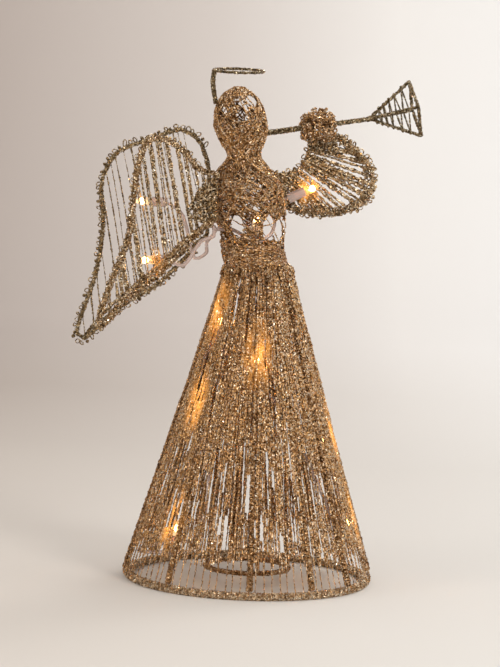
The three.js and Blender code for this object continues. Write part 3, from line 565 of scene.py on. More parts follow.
@dataclass(frozen=True)
class GlitterFinish(Finish):
    """A coat of metal glitter: small cells, each with its own tilt and its own tone."""

    tones: Tones
    cell: float = 0.8 * MM
    tilt: float = 1.6
    roughness: float = 0.32
    glow: float = 0.55

    def paint(self, desk: Wiring, shader: bpy.types.Node) -> None:
        """Gives each cell a tone and leans its normal.

        Args:
            desk: The material's nodes.
            shader: Its Principled shader.
        """
        scale = {"Scale": 1 / self.cell, "Vector": desk.place()}
        cells = desk.add("ShaderNodeTexVoronoi", scale).outputs["Color"]
        apart = desk.add("ShaderNodeSeparateColor", {"Color": cells})
        normal = desk.add("ShaderNodeNewGeometry").outputs["Normal"]
        centred = desk.vector("SUBTRACT", cells, (0.5, 0.5, 0.5))
        leaned = desk.vector("MULTIPLY_ADD", centred, (self.tilt,) * 3, normal)
        desk.feed(
            shader,
            {
                "Base Color": desk.ramp(apart.outputs["Red"], self.tones),
                "Normal": desk.vector("NORMALIZE", leaned),
                "Metallic": 0.85,
                "Roughness": self.roughness,
            },
        )
        # Painted glow near the lamps, as emission.
        LampGlow.add_to(desk, shader, self.glow)


@dataclass(frozen=True)
class FlakeFinish(Finish):
    """Loose glitter flakes: each takes its tone from its own random number."""

    tones: Tones
    roughness: float = 0.2
    glow: float = 0.8

    def paint(self, desk: Wiring, shader: bpy.types.Node) -> None:
        """Gives each flake a tone.

        Args:
            desk: The material's nodes.
            shader: Its Principled shader.
        """
        glint = desk.add("ShaderNodeAttribute", attribute_name=FlakeSower.ATTRIBUTE)
        tone = desk.ramp(glint.outputs["Fac"], self.tones)
        desk.feed(shader, {"Base Color": tone, "Metallic": 0.8, "Roughness": self.roughness})
        # Painted glow near the lamps, as emission.
        LampGlow.add_to(desk, shader, self.glow)


@dataclass(frozen=True)
class CordFinish(Finish):
    """Clear, slightly pink insulation."""

    colour: Colour
    pale: Colour
    grain: float = 180.0

    def paint(self, desk: Wiring, shader: bpy.types.Node) -> None:
        """Clouds the clear plastic a little.

        Args:
            desk: The material's nodes.
            shader: Its Principled shader.
        """
        stops = ((0.35, self.colour), (0.7, self.pale))
        tone = desk.ramp(desk.noise(self.grain, desk.place()), stops)
        desk.feed(shader, {"Base Color": tone, "Roughness": 0.22, "Transmission Weight": 0.55})


@dataclass(frozen=True)
class BulbFinish(Finish):
    """The clear, faintly amber glass of a lamp."""

    colour: Colour
    rim: Tones
    sheen: float = 0.22

    def paint(self, desk: Wiring, shader: bpy.types.Node) -> None:
        """Makes clear glass that shines faintly, less towards its rim.

        Args:
            desk: The material's nodes.
            shader: Its Principled shader.
        """
        facing = desk.add("ShaderNodeLayerWeight", {"Blend": 0.4}).outputs["Facing"]
        desk.feed(
            shader,
            {
                "Emission Color": desk.ramp(facing, self.rim),
                "Emission Strength": self.sheen,
                "Base Color": (*self.colour, 1.0),
                "Transmission Weight": 0.95,
                "Roughness": 0.06,
                "IOR": 1.2,
            },
        )


@dataclass(frozen=True)
class CoreFinish(Finish):
    """The lit core of a lamp, hotter in grains."""

    colour: Colour
    hot: Colour
    strength: float = 5.0
    grain: float = 900.0

    def paint(self, desk: Wiring, shader: bpy.types.Node) -> None:
        """Lets the core shine.

        Args:
            desk: The material's nodes.
            shader: Its Principled shader.
        """
        stops = ((0.3, self.colour), (0.7, self.hot))
        tone = desk.ramp(desk.noise(self.grain, desk.place()), stops)
        shine = {"Emission Color": tone, "Emission Strength": self.strength}
        desk.feed(shader, {**shine, "Base Color": (*self.colour, 1.0)})


GOLD = GlitterFinish(
    "gold_coat",
    (
        (0.0, (0.10, 0.045, 0.015)), (0.2, (0.30, 0.15, 0.055)), (0.5, (0.61, 0.345, 0.135)),
        (0.75, (0.76, 0.50, 0.285)), (1.0, (1.0, 0.88, 0.70)),
    ),
)
BROWN = GlitterFinish(
    "brown_coat",
    (
        (0.0, (0.055, 0.024, 0.009)), (0.3, (0.20, 0.095, 0.032)), (0.6, (0.42, 0.22, 0.085)),
        (0.85, (0.62, 0.40, 0.21)), (1.0, (1.0, 0.84, 0.62)),
    ),
)
OLIVE = GlitterFinish(
    "olive_gold_coat",
    (
        (0.0, (0.04, 0.028, 0.013)), (0.4, (0.12, 0.085, 0.042)), (0.8, (0.26, 0.19, 0.105)),
        (1.0, (0.85, 0.74, 0.54)),
    ),
)
PALE = GlitterFinish(
    "pale_coat",
    (
        (0.0, (0.16, 0.085, 0.04)), (0.35, (0.52, 0.34, 0.18)), (0.7, (0.80, 0.62, 0.42)),
        (1.0, (1.0, 0.95, 0.82)),
    ),
)
# The far wing's coat: a darker copy of the wing gold, as painted shade.
SHADED_WING_GOLD = GlitterFinish(
    "shaded_wing_gold_coat",
    (
        (0.0, (0.06, 0.037, 0.017)), (0.4, (0.25, 0.165, 0.08)), (0.8, (0.55, 0.40, 0.225)),
        (1.0, (1.0, 0.90, 0.73)),
    ),
)
# The near wing's and the sleeve's coat: a lighter copy of the wing gold, as painted light from the
# lamps.
NEAR_GOLD = GlitterFinish(
    "near_gold_coat",
    (
        (0.0, (0.055, 0.03, 0.012)), (0.25, (0.20, 0.12, 0.05)), (0.55, (0.46, 0.30, 0.145)),
        (0.78, (0.80, 0.61, 0.39)), (1.0, (1.0, 0.94, 0.80)),
    ),
)
WARM_FLAKES = FlakeFinish(
    "warm_flakes",
    (
        (0.0, (0.10, 0.042, 0.013)), (0.25, (0.40, 0.20, 0.07)), (0.5, (0.70, 0.43, 0.19)),
        (0.72, (0.78, 0.52, 0.42)), (0.86, (0.46, 0.36, 0.20)), (1.0, (1.0, 0.96, 0.86)),
    ),
)
PALE_FLAKES = FlakeFinish(
    "pale_flakes",
    (
        (0.0, (0.16, 0.085, 0.035)), (0.3, (0.50, 0.31, 0.14)), (0.55, (0.80, 0.60, 0.38)),
        (0.75, (0.95, 0.84, 0.68)), (1.0, (1.0, 0.98, 0.92)),
    ),
)
DARK_FLAKES = FlakeFinish(
    "dark_flakes",
    (
        (0.0, (0.05, 0.024, 0.01)), (0.4, (0.26, 0.125, 0.045)), (0.7, (0.50, 0.28, 0.12)),
        (0.88, (0.70, 0.48, 0.36)), (1.0, (1.0, 0.95, 0.86)),
    ),
)
OLIVE_FLAKES = FlakeFinish(
    "olive_flakes",
    (
        (0.0, (0.045, 0.03, 0.014)), (0.5, (0.23, 0.165, 0.085)), (0.82, (0.48, 0.38, 0.235)),
        (1.0, (0.98, 0.92, 0.80)),
    ),
)
CORD = CordFinish("clear_insulation", (0.74, 0.60, 0.55), (0.851, 0.69, 0.6325))
BULB = BulbFinish(
    "bulb_glass",
    (1.0, 0.86, 0.66),
    ((0.0, (1.0, 0.55, 0.16)), (0.6, (0.8, 0.32, 0.06)), (1.0, (0.35, 0.12, 0.03))),
)
LIT = CoreFinish("lit_core", (1.0, 0.60, 0.20), (1.0, 0.78, 0.42))


# Glitter: flakes and lumps


class FlakeSower:
    """Sows glitter flakes over a piece with one geometry node group."""

    ATTRIBUTE = "glint"
    CORNERS = 4
    TILT = (1.25, 1.25, 3.1)
    LEAST, MOST = 0.55, 1.35  # of a flake's radius

    def __init__(self) -> None:
        """Builds the node group once."""
        self.group = bpy.data.node_groups.new("sow_flakes", "GeometryNodeTree")
        self.group.is_modifier = True
        face = self.group.interface
        face.new_socket("Geometry", in_out="INPUT", socket_type="NodeSocketGeometry")
        kinds = {"Density": "Float", "Size": "Float", "Seed": "Int", "Flake": "Material"}
        self.sockets = {
            name: face.new_socket(name, in_out="INPUT", socket_type="NodeSocket" + kind).identifier
            for name, kind in kinds.items()
        }
        face.new_socket("Geometry", in_out="OUTPUT", socket_type="NodeSocketGeometry")
        self.wire(Wiring(self.group))

    def wire(self, desk: Wiring) -> None:
        """Joins the group's nodes: scatter, instance, tilt, number, realise and join.

        Args:
            desk: The group's nodes.
        """
        given = desk.add("NodeGroupInput").outputs
        seed = {"Seed": given["Seed"]}
        sown = {"Mesh": given["Geometry"], "Density": given["Density"], **seed}
        scatter = desk.add("GeometryNodeDistributePointsOnFaces", sown)
        shape = {"Vertices": self.CORNERS, "Radius": given["Size"]}
        disc = desk.add("GeometryNodeMeshCircle", shape, fill_type="NGON")
        span = {0: tuple(-angle for angle in self.TILT), 1: self.TILT, **seed}
        lean = desk.add("FunctionNodeRandomValue", span, data_type="FLOAT_VECTOR")
        turn = desk.add("FunctionNodeEulerToRotation", {"Euler": lean.outputs[0]})
        turned = {"Rotation": scatter.outputs["Rotation"], "Rotate By": turn.outputs["Rotation"]}
        both = desk.add("FunctionNodeRotateRotation", turned, rotation_space="LOCAL")
        share = {2: self.LEAST, 3: self.MOST}
        grow = desk.add("FunctionNodeRandomValue", share, data_type="FLOAT")
        placed = {
            "Points": scatter.outputs["Points"],
            "Instance": disc.outputs["Mesh"],
            "Rotation": both.outputs["Rotation"],
            "Scale": grow.outputs[1],
        }
        put = desk.add("GeometryNodeInstanceOnPoints", placed)
        number = desk.add("FunctionNodeRandomValue", seed, data_type="FLOAT")
        kept = {
            "Geometry": put.outputs["Instances"],
            "Name": self.ATTRIBUTE,
            "Value": number.outputs[1],
        }
        keep = desk.add(
            "GeometryNodeStoreNamedAttribute", kept, data_type="FLOAT", domain="INSTANCE"
        )
        real = desk.add("GeometryNodeRealizeInstances", {"Geometry": keep.outputs["Geometry"]})
        painted = {"Geometry": real.outputs["Geometry"], "Material": given["Flake"]}
        paint = desk.add("GeometryNodeSetMaterial", painted)
        gather = desk.add("GeometryNodeJoinGeometry", {"Geometry": given["Geometry"]})
        desk.feed(gather, {"Geometry": paint.outputs["Geometry"]})
        desk.add("NodeGroupOutput", {"Geometry": gather.outputs["Geometry"]})


SOWER = FlakeSower()


@dataclass(frozen=True)
class Dust:
    """How glitter flakes lie on a piece."""

    per_square_mm: float = 1.6
    radius: float = 0.34 * MM
    finish: FlakeFinish = WARM_FLAKES

    def sow(self, piece: bpy.types.Object, seed: int) -> None:
        """Sows the flakes over a piece and makes them part of its mesh.

        Args:
            piece: The mesh object to coat.
            seed: What fixes the flakes' places.
        """
        select_only(piece)
        modifier = piece.modifiers.new("flakes", "NODES")
        modifier.node_group = SOWER.group
        modifier[SOWER.sockets["Density"]] = self.per_square_mm / (MM * MM)
        modifier[SOWER.sockets["Size"]] = self.radius
        modifier[SOWER.sockets["Seed"]] = seed
        modifier[SOWER.sockets["Flake"]] = self.finish.material()
        bpy.ops.object.modifier_apply(modifier=modifier.name)


@dataclass(frozen=True)
class Crust:
    """How the copy of a CAD solid is remeshed finely and raised into lumps of glitter.

    The level is the lump height that leaves the surface where it is: a lower one thickens it.
    """

    height: float = 0.8 * MM
    voxel: float = 0.55 * MM
    level: float = 0.45
    lump: float = 1.3 * MM

    def texture(self) -> bpy.types.Texture:
        """Makes the procedural texture of the lumps, once.

        Returns:
            The texture.
        """
        found = bpy.data.textures.get("lumps")
        if not found:
            found = bpy.data.textures.new("lumps", "VORONOI")
            found.noise_scale = self.lump
            found.noise_intensity = 1.0
        return found

    def raise_on(self, piece: bpy.types.Object) -> None:
        """Remeshes a piece and raises the lumps on it.

        Args:
            piece: The mesh object to change.
        """
        apply_modifier(piece, "REMESH", mode="VOXEL", voxel_size=self.voxel, adaptivity=0.0)
        apply_modifier(
            piece,
            "DISPLACE",
            texture=self.texture(),
            texture_coords="LOCAL",
            strength=self.height,
            mid_level=self.level,
        )


def dress(piece: bpy.types.Object, replaces: list[str], body: str) -> None:
    """Gives a piece its body and hides the CAD nodes that it stands for.

    Args:
        piece: The mesh object.
        replaces: The CAD nodes that it replaces.
        body: The CAD body that it rides on.
    """
    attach(piece, body)
    if replaces:
        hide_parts(*replaces)
    LOG.info("%s: %d faces on %s", piece.name, len(piece.data.polygons), body)


def coated(
    name: str,
    nodes: list[str],
    finish: GlitterFinish,
    seed: int,
    crust: Crust = Crust(),
    dust: Dust = Dust(),
    body: str = ROOT_BODY,
) -> bpy.types.Object:
    """A rough, glittered copy of CAD nodes that stands in for them.

    Args:
        name: The new piece's name.
        nodes: The CAD nodes that it copies and replaces.
        finish: The coat.
        seed: What fixes the flakes' places.
        crust: The coat's lumps.
        dust: The flakes on it.
        body: The CAD body that it rides on.

    Returns:
        The new piece.
    """
    piece = copy_of_nodes(name, nodes)
    crust.raise_on(piece)
    piece.data.materials.append(finish.material())
    dust.sow(piece, seed)
    dress(piece, nodes, body)
    return piece


def strung(
    name: str,
    routes: list[Thread],
    finish: GlitterFinish,
    seed: int,
    dust: Dust,
    replaces: list[str],
    body: str = ROOT_BODY,
) -> None:
    """A glittered piece made of threads.

    Args:
        name: The new piece's name.
        routes: The threads' routes.
        finish: The coat.
        seed: What fixes the flakes' places.
        dust: The flakes on it.
        replaces: The CAD nodes that it replaces.
        body: The CAD body that it rides on.
    """
    piece = threads(name, routes)
    piece.data.materials.append(finish.material())
    dust.sow(piece, seed)
    dress(piece, replaces, body)


# The skirt


@dataclass
class Skirt:
    """The wound cone: main threads from hem to waist, glittered threads between them, and ribs."""

    hem_radius: float = 74.4 * MM
    hem_height: float = 4.0 * MM
    waist_radius: float = 19.2 * MM
    waist_height: float = 186.0 * MM
    thread_foot: float = 2.6 * MM
    overlap: float = 0.6 * MM
    main_threads: int = 97
    ribs: int = 9
    sectors: int = 6
    thread_step: float = 1.15 * MM
    main_wire: float = 0.62 * MM
    filler_wire: float = 0.64 * MM
    bare_wire: float = 0.30 * MM
    bare_height: float = 24.0 * MM
    sway: float = 0.16 * MM
    heave: float = 0.14 * MM
    fold_count: int = 14
    fold_depth: float = 1.9 * MM
    fold_skew: float = 1.7
    fold_growth: float = 1.5
    growth: Span = (0.55, 0.6)  # where threads thicken: start and length, in bare heights
    thickness: Span = (0.7, 1.35)
    thread_seed: int = 11
    thread_shift: Span = (-0.12, 0.12)
    filler_shift: Span = (-0.08, 0.08)
    filler_feet: Span = (0.72, 1.2)  # in bare heights
    filler_tops: Span = (0.5, 0.8)  # in waist heights
    memory: float = 0.9  # share of a thread's drift that lasts to its next point
    filler_shares: Span = (0.34, 0.67)
    least_run: float = 3 * MM
    streak_top: float = 118.0 * MM
    slit_top: float = 12 * MM  # below the threads' end
    slit_lengths: Span = (10, 46)  # in millimetres
    slit_starts: Span = (0, 30)  # in millimetres above the bare band
    slit_gaps: Span = (0.5, 1.5)
    slit_overlap: Span = (-1.5, 1.5)  # in millimetres
    open_share: float = 0.13
    open_edge: float = 0.32  # what the front and back add to it
    open_wave: float = 0.12
    top_open: float = 0.22  # share of it that is left above the streaks
    least_open: float = 0.03
    stitch_inset: float = 3.0 * MM
    stitch_middle: float = 2.35 * MM
    stitch_rise: float = 2.25 * MM
    stitch_skew: float = 0.5 * MM
    stitch_radius: float = 2.9 * MM
    stitch_wire: float = 0.34 * MM
    stitch_steps: int = 10
    stitch_seed: int = 12
    stitch_shift: Span = (-0.15, 0.15)

    def radius_at(self, height: float) -> float:
        """Returns the cone's radius at a height."""
        share = (height - self.hem_height) / (self.waist_height - self.hem_height)
        return self.hem_radius + (self.waist_radius - self.hem_radius) * share

    def spot(self, angle: float, height: float, lift: float) -> Vector:
        """Returns the point at an angle and a height, off the cone by a lift."""
        radius = self.radius_at(height) + lift
        return Vector((radius * math.cos(angle), radius * math.sin(angle), height))

    def run(
        self, angle: float, low: float, high: float, radius: float, rng: random.Random
    ) -> Thread:
        """One upright thread that wavers a little and thickens above the bare band.

        Args:
            angle: Its polar angle in radians.
            low: Where it starts.
            high: Where it ends.
            radius: Its radius in the glittered part.
            rng: The source of randomness.

        Returns:
            The thread.
        """
        count = max(2, round((high - low) / self.thread_step))
        thread = Thread([], [])
        drift, lift = 0.0, 0.0
        fold = math.sin(self.fold_count * angle + self.fold_skew * math.sin(3 * angle))
        start, length = (share * self.bare_height for share in self.growth)
        for i in range(count + 1):
            height = low + (high - low) * i / count
            drift = self.memory * drift + rng.uniform(-1, 1) * self.sway
            lift = self.memory * lift + rng.uniform(-1, 1) * self.heave
            folded = fold * self.fold_depth * (height / self.waist_height) ** self.fold_growth
            turn = angle + drift / self.radius_at(height)
            thread.points.append(self.spot(turn, height, lift + folded))
            grown = (height - start) / length
            base = self.bare_wire + (radius - self.bare_wire) * min(1.0, max(0.0, grown))
            thread.radii.append(base * rng.uniform(*self.thickness))
        return thread

    def build_threads(self) -> None:
        """Builds the threads sector by sector, each sector one piece."""
        rng = random.Random(self.thread_seed)
        pitch = math.tau / self.main_threads
        waist = self.waist_height + self.overlap
        windings = [f"skirt_winding_{i + 1}" for i in range(self.ribs)]
        per_sector = math.ceil(self.main_threads / self.sectors)
        dust = Dust(0.75, 0.44 * MM)
        for sector in range(self.sectors):
            routes = []
            first = sector * per_sector
            for index in range(first, min(first + per_sector, self.main_threads)):
                angle = (index + rng.uniform(*self.thread_shift)) * pitch
                routes.append(self.run(angle, self.thread_foot, waist, self.main_wire, rng))
                routes += self.fillers(angle, pitch, waist, rng)
            name, mine = f"skirt_threads_{sector + 1}", windings[sector :: self.sectors]
            strung(name, routes, GOLD, 100 + sector, dust, mine)

    def fillers(self, angle: float, pitch: float, waist: float, rng: random.Random) -> list[Thread]:
        """Glittered threads between two main ones, with the gaps that let light through.

        Args:
            angle: The main thread's polar angle.
            pitch: The angle between two main threads.
            waist: Where the threads end.
            rng: The source of randomness.

        Returns:
            The threads.
        """
        made = []
        slits = self.slits(angle, waist, rng)
        for share in self.filler_shares:
            low = self.bare_height * rng.uniform(*self.filler_feet)
            top = waist if share < 0.5 else waist * rng.uniform(*self.filler_tops)
            at = angle + pitch * (share + rng.uniform(*self.filler_shift))
            for start, end in slits + [(top, top)]:
                if min(start, top) - low > self.least_run:
                    made.append(self.run(at, low, min(start, top), self.filler_wire, rng))
                low = max(low, end + rng.uniform(*self.slit_overlap) * MM)
                if low > top:
                    break
        return made

    def slits(self, angle: float, top: float, rng: random.Random) -> list[Span]:
        """The heights between which a gap stays bare, more of them front and back.

        Args:
            angle: The gap's polar angle in radians.
            top: Where the threads end.
            rng: The source of randomness.

        Returns:
            The lower and upper height of each slit.
        """
        edge = abs(math.cos(angle)) ** 3
        wave = self.open_wave * math.sin(11 * angle + 0.7) * math.sin(4 * angle)
        share = self.open_share + self.open_edge * edge + wave
        made = []
        height = self.bare_height + rng.uniform(*self.slit_starts) * MM
        while height < top - self.slit_top:
            opened = share if height < self.streak_top else self.top_open * share
            thin = max(self.least_open, opened)
            length = rng.uniform(*self.slit_lengths) * MM
            made.append((height, min(height + length, top)))
            height += length + length * (1 - thin) / thin * rng.uniform(*self.slit_gaps)
        return made

    def build_wires(self) -> None:
        """Coats the ribs, the two rings and the cone inside."""
        crust, dust = Crust(1.1 * MM), Dust(finish=DARK_FLAKES)
        for i in range(self.ribs):
            node = f"skirt_rib_{i + 1}"
            coated(f"rib_coat_{i + 1}", [node], BROWN, 200 + i, crust, dust)
        crust = Crust(1.2 * MM, 0.6 * MM)
        coated("hem_coat", ["hem_ring"], PALE, 220, crust, Dust(1.4))
        coated("waist_ring_coat", ["waist_ring"], BROWN, 221)
        coated("socket_coat", ["tree_socket"], BROWN, 222, Crust(0.9 * MM))

    def build_hem_stitches(self) -> None:
        """The small turns of the main threads round the hem ring."""
        rng = random.Random(self.stitch_seed)
        middle = self.hem_radius - self.stitch_inset
        routes = []
        for index in range(self.main_threads):
            angle = math.tau * (index + rng.uniform(*self.stitch_shift)) / self.main_threads
            out = outward(angle)
            side = Vector((-math.sin(angle), math.cos(angle), 0)) * self.stitch_skew
            loop = []
            for step in range(self.stitch_steps):
                turn = math.tau * step / self.stitch_steps
                lift = Vector((0, 0, self.stitch_middle + self.stitch_rise * math.sin(turn)))
                reach = middle + self.stitch_radius * math.cos(turn)
                loop.append(out * reach + lift + side * math.sin(turn / 2))
            routes.append(knobbly(loop, self.stitch_wire, Grain.FINE, rng, closed=True))
        strung("hem_stitches", routes, PALE, 230, Dust(0.7, 0.3 * MM), [])

    def build(self) -> None:
        """Builds the whole skirt."""
        self.build_threads()
        self.build_wires()
        self.build_hem_stitches()


# Waist, bodice, head and halo


@dataclass
class Torso:
    """The wrapped waist, the woven bodice and head, and the halo.

    Tables and spans are in millimetres. Each row of lean holds a height and how far forward the
    middle lies there, each row of radii a height and a radius, and each opening an angle in
    degrees, a height, half its width and half its height.
    """

    lean: Rows = (
        (186, 0), (188, -0.57), (195, -2.54), (200, -3.96), (205, -4.58), (210, -5.08),
        (215, -5.28), (220, -5.48), (230, -6.93), (240, -9.47), (247, -10.16), (250, -10.32),
        (255, -11.26), (260, -12.2), (270, -13.73), (280, -14.99), (290, -15.62), (298, -15.8),
    )
    body_radii: Rows = (
        (203.5, 17.9), (209, 18.7), (215.5, 20), (224, 20.4), (233, 20), (241.5, 19),
        (244.5, 16.5), (247, 12.7),
    )
    head_radii: Rows = (
        (247.3, 11.6), (249.6, 10.9), (254, 9.4), (259, 9.2), (263, 11.8), (268.4, 13.9),
        (273.5, 15.1), (280.6, 14.8), (286.7, 13), (290.7, 10.9), (294.8, 6.9), (297.6, 1.2),
    )
    body_openings: Openings = (
        (-72, 214.8, 3.2, 7.4), (-46, 214.2, 4.4, 7.6), (-131, 216.4, 3.4, 6.2),
        (-156, 224.8, 2.2, 2.4), (-108, 219.5, 2, 2.6), (72, 224.6, 2.4, 7),
        (42, 211.6, 3.8, 7.2), (101, 212, 4.2, 6), (-12, 218, 2.6, 7),
        (16, 212.2, 4.8, 7.4), (16, 229, 3.4, 3.4), (180, 210.6, 6.8, 4.2),
    )
    head_openings: Openings = (
        (-62, 290.2, 3.6, 2.8), (31, 288.8, 3.9, 3.0), (-112, 289.2, 1.6, 1.4),
        (-95, 285.6, 1.5, 1.6), (-100, 281.5, 2.2, 2.4), (-125, 265.9, 1.5, 1.6),
        (-50, 250.6, 1.6, 1.4), (60, 286.6, 3, 2.4), (110, 282.6, 2, 2),
        (95, 269.9, 1.8, 2), (86, 291.2, 2.1, 1.8), (-2, 281.5, 2.0, 1.6),
        (4, 266.5, 1.7, 2.3), (-40, 274.5, 1.6, 2.2), (58, 276, 2.2, 1.9),
        (-8, 294, 2.0, 1.2), (128, 272, 2.6, 1.8), (150, 287.5, 2.9, 2.2),
        (176, 277, 1.8, 2.5), (-168, 265.5, 2.2, 1.6), (-150, 283, 2.4, 2.0),
    )
    opening_edge: float = 0.5
    body_threads: tuple[int, int] = (50, 41)
    head_threads: tuple[int, int] = (72, 50)
    winding_swings: Span = (0.2, 0.8)  # in shares of the body's height
    upper_lifts: Span = (0.2, 0.9)
    lower_lifts: Span = (-0.8, 0.1)
    wobble: Span = (-0.3, 0.3)
    winding_jitter: Span = (-0.15, 0.15)
    foot_gap: float = 0.5
    top_gap: float = 0.6
    crossing_every: int = 9
    winding_steps: int = 72
    crossing_wire: float = 0.35
    winding_wires: tuple[float, ...] = (0.3, 0.4, 0.5, 0.62)
    drapes: int = 105
    drape_steps: int = 12
    drape_slants: Span = (0.4, 1.6)
    drape_tops: Span = (249, 257)
    drape_feet: Span = (230, 243)
    drape_wires: tuple[float, ...] = (0.35, 0.5, 0.65)
    drape_seed: int = 35
    drape_lift: float = 0.4
    flank_top: float = 9.6
    flank_growth: float = 10.6
    neck_height: float = 247
    waist_turns: int = 46
    waist_steps: int = 48
    waist_bounds: Span = (187.5, 203.8)
    waist_bases: Span = (188.5, 202.5)
    waist_swings: Span = (1.6, 6.0)
    waist_reaches: Span = (17.6, 18.6)
    waist_seed: int = 31
    waist_jitter: Span = (-0.35, 0.35)
    waist_wire: float = 0.6 * MM
    wrap_foot: float = 187 * MM
    wrap_share: float = 0.77
    frays: int = 260
    fray_root: float = 18.6
    fray_reaches: Span = (19.6, 22.4)
    fray_tops: Span = (189, 192)
    fray_tips: Span = (183.5, 188)
    fray_bends: Span = (0, 1.2)
    fray_wire: float = 0.55 * MM
    weave_dust: Dust = Dust(0.8, 0.42 * MM)

    def place(self, angle: float, height: float, radius: float) -> Vector:
        """Returns the place in metres at an angle, a height and a distance from the middle."""
        x = read_table(self.lean, height) + radius * math.cos(angle)
        return Vector((x, radius * math.sin(angle), height)) * MM

    def opened(self, openings: Openings, angle: float, height: float, radius: float) -> bool:
        """Tells whether a place lies in one of the weave's openings.

        Args:
            openings: The openings.
            angle: The place's polar angle in radians.
            height: Its height.
            radius: The body's radius there.

        Returns:
            Whether it does.
        """
        for turn, middle, half_width, half_height in openings:
            off = (math.degrees(angle) - turn + 180) % 360 - 180
            across = math.radians(off) * radius / (half_width + self.opening_edge)
            rise = (height - middle) / (half_height + self.opening_edge)
            if across * across + rise * rise < 1:
                return True
        return False

    def windings(
        self, rows: Rows, openings: Openings, count: int, seed: int, upper: bool
    ) -> list[Thread]:
        """Threads wound round the body at many slants, most of them parted at the openings.

        Args:
            rows: Radius against height.
            openings: The weave's openings.
            count: How many threads.
            seed: What fixes their slants.
            upper: Whether they are the upper layer.

        Returns:
            The threads.
        """
        rng = random.Random(seed)
        low, high = rows[0][0], rows[-1][0]
        made = []
        for index in range(count):
            middle = rng.uniform(low, high)
            swing = rng.uniform(*self.winding_swings) * (high - low)
            phase = rng.uniform(0, math.tau)
            lift = rng.uniform(*(self.upper_lifts if upper else self.lower_lifts))
            crossing = upper and index % self.crossing_every == 0
            thick = rng.choice(self.winding_wires)
            run: Line = []
            for step in range(self.winding_steps + 1):
                angle = math.tau * step / self.winding_steps
                height = middle + swing * math.sin(angle + phase) + rng.uniform(*self.wobble)
                height = min(high - self.top_gap, max(low + self.foot_gap, height))
                radius = read_table(rows, height)
                if not crossing and self.opened(openings, angle, height, radius):
                    if len(run) > 2:
                        made.append(knobbly(run, thick * MM, Grain.MIDDLING, rng))
                    run = []
                    continue
                reach = radius + (lift + rng.uniform(*self.winding_jitter))
                run.append(self.place(angle, height, reach))
            if len(run) > 2:
                wire = self.crossing_wire if crossing else thick
                made.append(knobbly(run, wire * MM, Grain.MIDDLING, rng))
        return made

    def build_shell(
        self, node: str, rows: Rows, openings: Openings, counts: tuple[int, int], seed: int
    ) -> None:
        """Builds one woven shell, wound of brown threads below and gold ones above.

        Args:
            node: The CAD shell that they replace.
            rows: Radius against height.
            openings: The weave's openings.
            counts: How many threads lie below and above.
            seed: What fixes the threads.
        """
        layers = (("under", BROWN, [node]), ("over", GOLD, []))
        for layer, (word, finish, replaced) in enumerate(layers):
            routes = self.windings(rows, openings, counts[layer], seed + layer, layer == 1)
            name, grains = f"{node}_weave_{word}", seed + 2 + layer
            strung(name, routes, finish, grains, self.weave_dust, replaced)

    def build_shoulders(self) -> None:
        """Threads draped from the neck over the shoulders, which round off the bodice's edge."""
        rng = random.Random(self.drape_seed)
        routes = []
        for _ in range(self.drapes):
            angle = rng.uniform(0, math.tau)
            slant = rng.choice((-1, 1)) * rng.uniform(*self.drape_slants)
            high, low = rng.uniform(*self.drape_tops), rng.uniform(*self.drape_feet)
            line = []
            for step in range(self.drape_steps):
                share = step / (self.drape_steps - 1)
                height = high + (low - high) * share
                flank = self.flank_top + self.flank_growth * (1 - (1 - share) ** 1.5)
                rows = self.body_radii if height < self.neck_height else self.head_radii
                radius = max(flank, read_table(rows, height) + self.drape_lift)
                line.append(self.place(angle + slant * share, height, radius))
            routes.append(knobbly(line, rng.choice(self.drape_wires) * MM, Grain.MIDDLING, rng))
        strung("shoulder_threads", routes, GOLD, 350, self.weave_dust, [])

    def waist_loops(self, rng: random.Random) -> list[Thread]:
        """The crossing turns round the waist.

        Args:
            rng: The source of randomness.

        Returns:
            The turns.
        """
        lowest, highest = self.waist_bounds
        made = []
        for _ in range(self.waist_turns):
            base = rng.uniform(*self.waist_bases)
            phase = rng.uniform(0, math.tau)
            swing = rng.uniform(*self.waist_swings)
            reach = rng.uniform(*self.waist_reaches)
            loop = []
            for step in range(self.waist_steps):
                angle = math.tau * step / self.waist_steps
                height = base + swing * math.sin(2 * angle + phase)
                height = min(highest, max(lowest, height))
                loop.append(self.place(angle, height, reach + rng.uniform(*self.waist_jitter)))
            made.append(knobbly(loop, self.waist_wire, Grain.COARSE, rng, closed=True))
        return made

    def waist_frays(self, rng: random.Random) -> list[Thread]:
        """The short ends that stand out under the waist wrap.

        Args:
            rng: The source of randomness.

        Returns:
            The ends.
        """
        made = []
        for _ in range(self.frays):
            out = outward(rng.uniform(0, math.tau))
            top = out * self.fray_root + Vector((-0.7, 0, rng.uniform(*self.fray_tops)))
            reach = rng.uniform(*self.fray_reaches)
            tip = out * reach + Vector((-0.3, 0, rng.uniform(*self.fray_tips)))
            middle = top.lerp(tip, 0.6) + out * rng.uniform(*self.fray_bends)
            points = [top * MM, middle * MM, tip * MM]
            made.append(knobbly(points, self.fray_wire, Grain.MIDDLING, rng))
        return made

    def build_waist(self) -> None:
        """The waist wrap: the CAD cord roughened, under crossing turns and a frayed lower lip."""
        dust = Dust(1.8, 0.4 * MM)
        nodes = ["waist_wrap"]
        wrap = coated("waist_wrap_coat", nodes, BROWN, 310, Crust(1.0 * MM), dust)
        foot = Vector((0, 0, self.wrap_foot))
        drawn_down = Matrix.Diagonal((1, 1, self.wrap_share, 1))
        wrap.data.transform(Matrix.Translation(foot) @ drawn_down @ Matrix.Translation(-foot))
        rng = random.Random(self.waist_seed)
        routes = self.waist_loops(rng) + self.waist_frays(rng)
        strung("waist_threads", routes, GOLD, 311, Dust(1.5, 0.46 * MM), [])

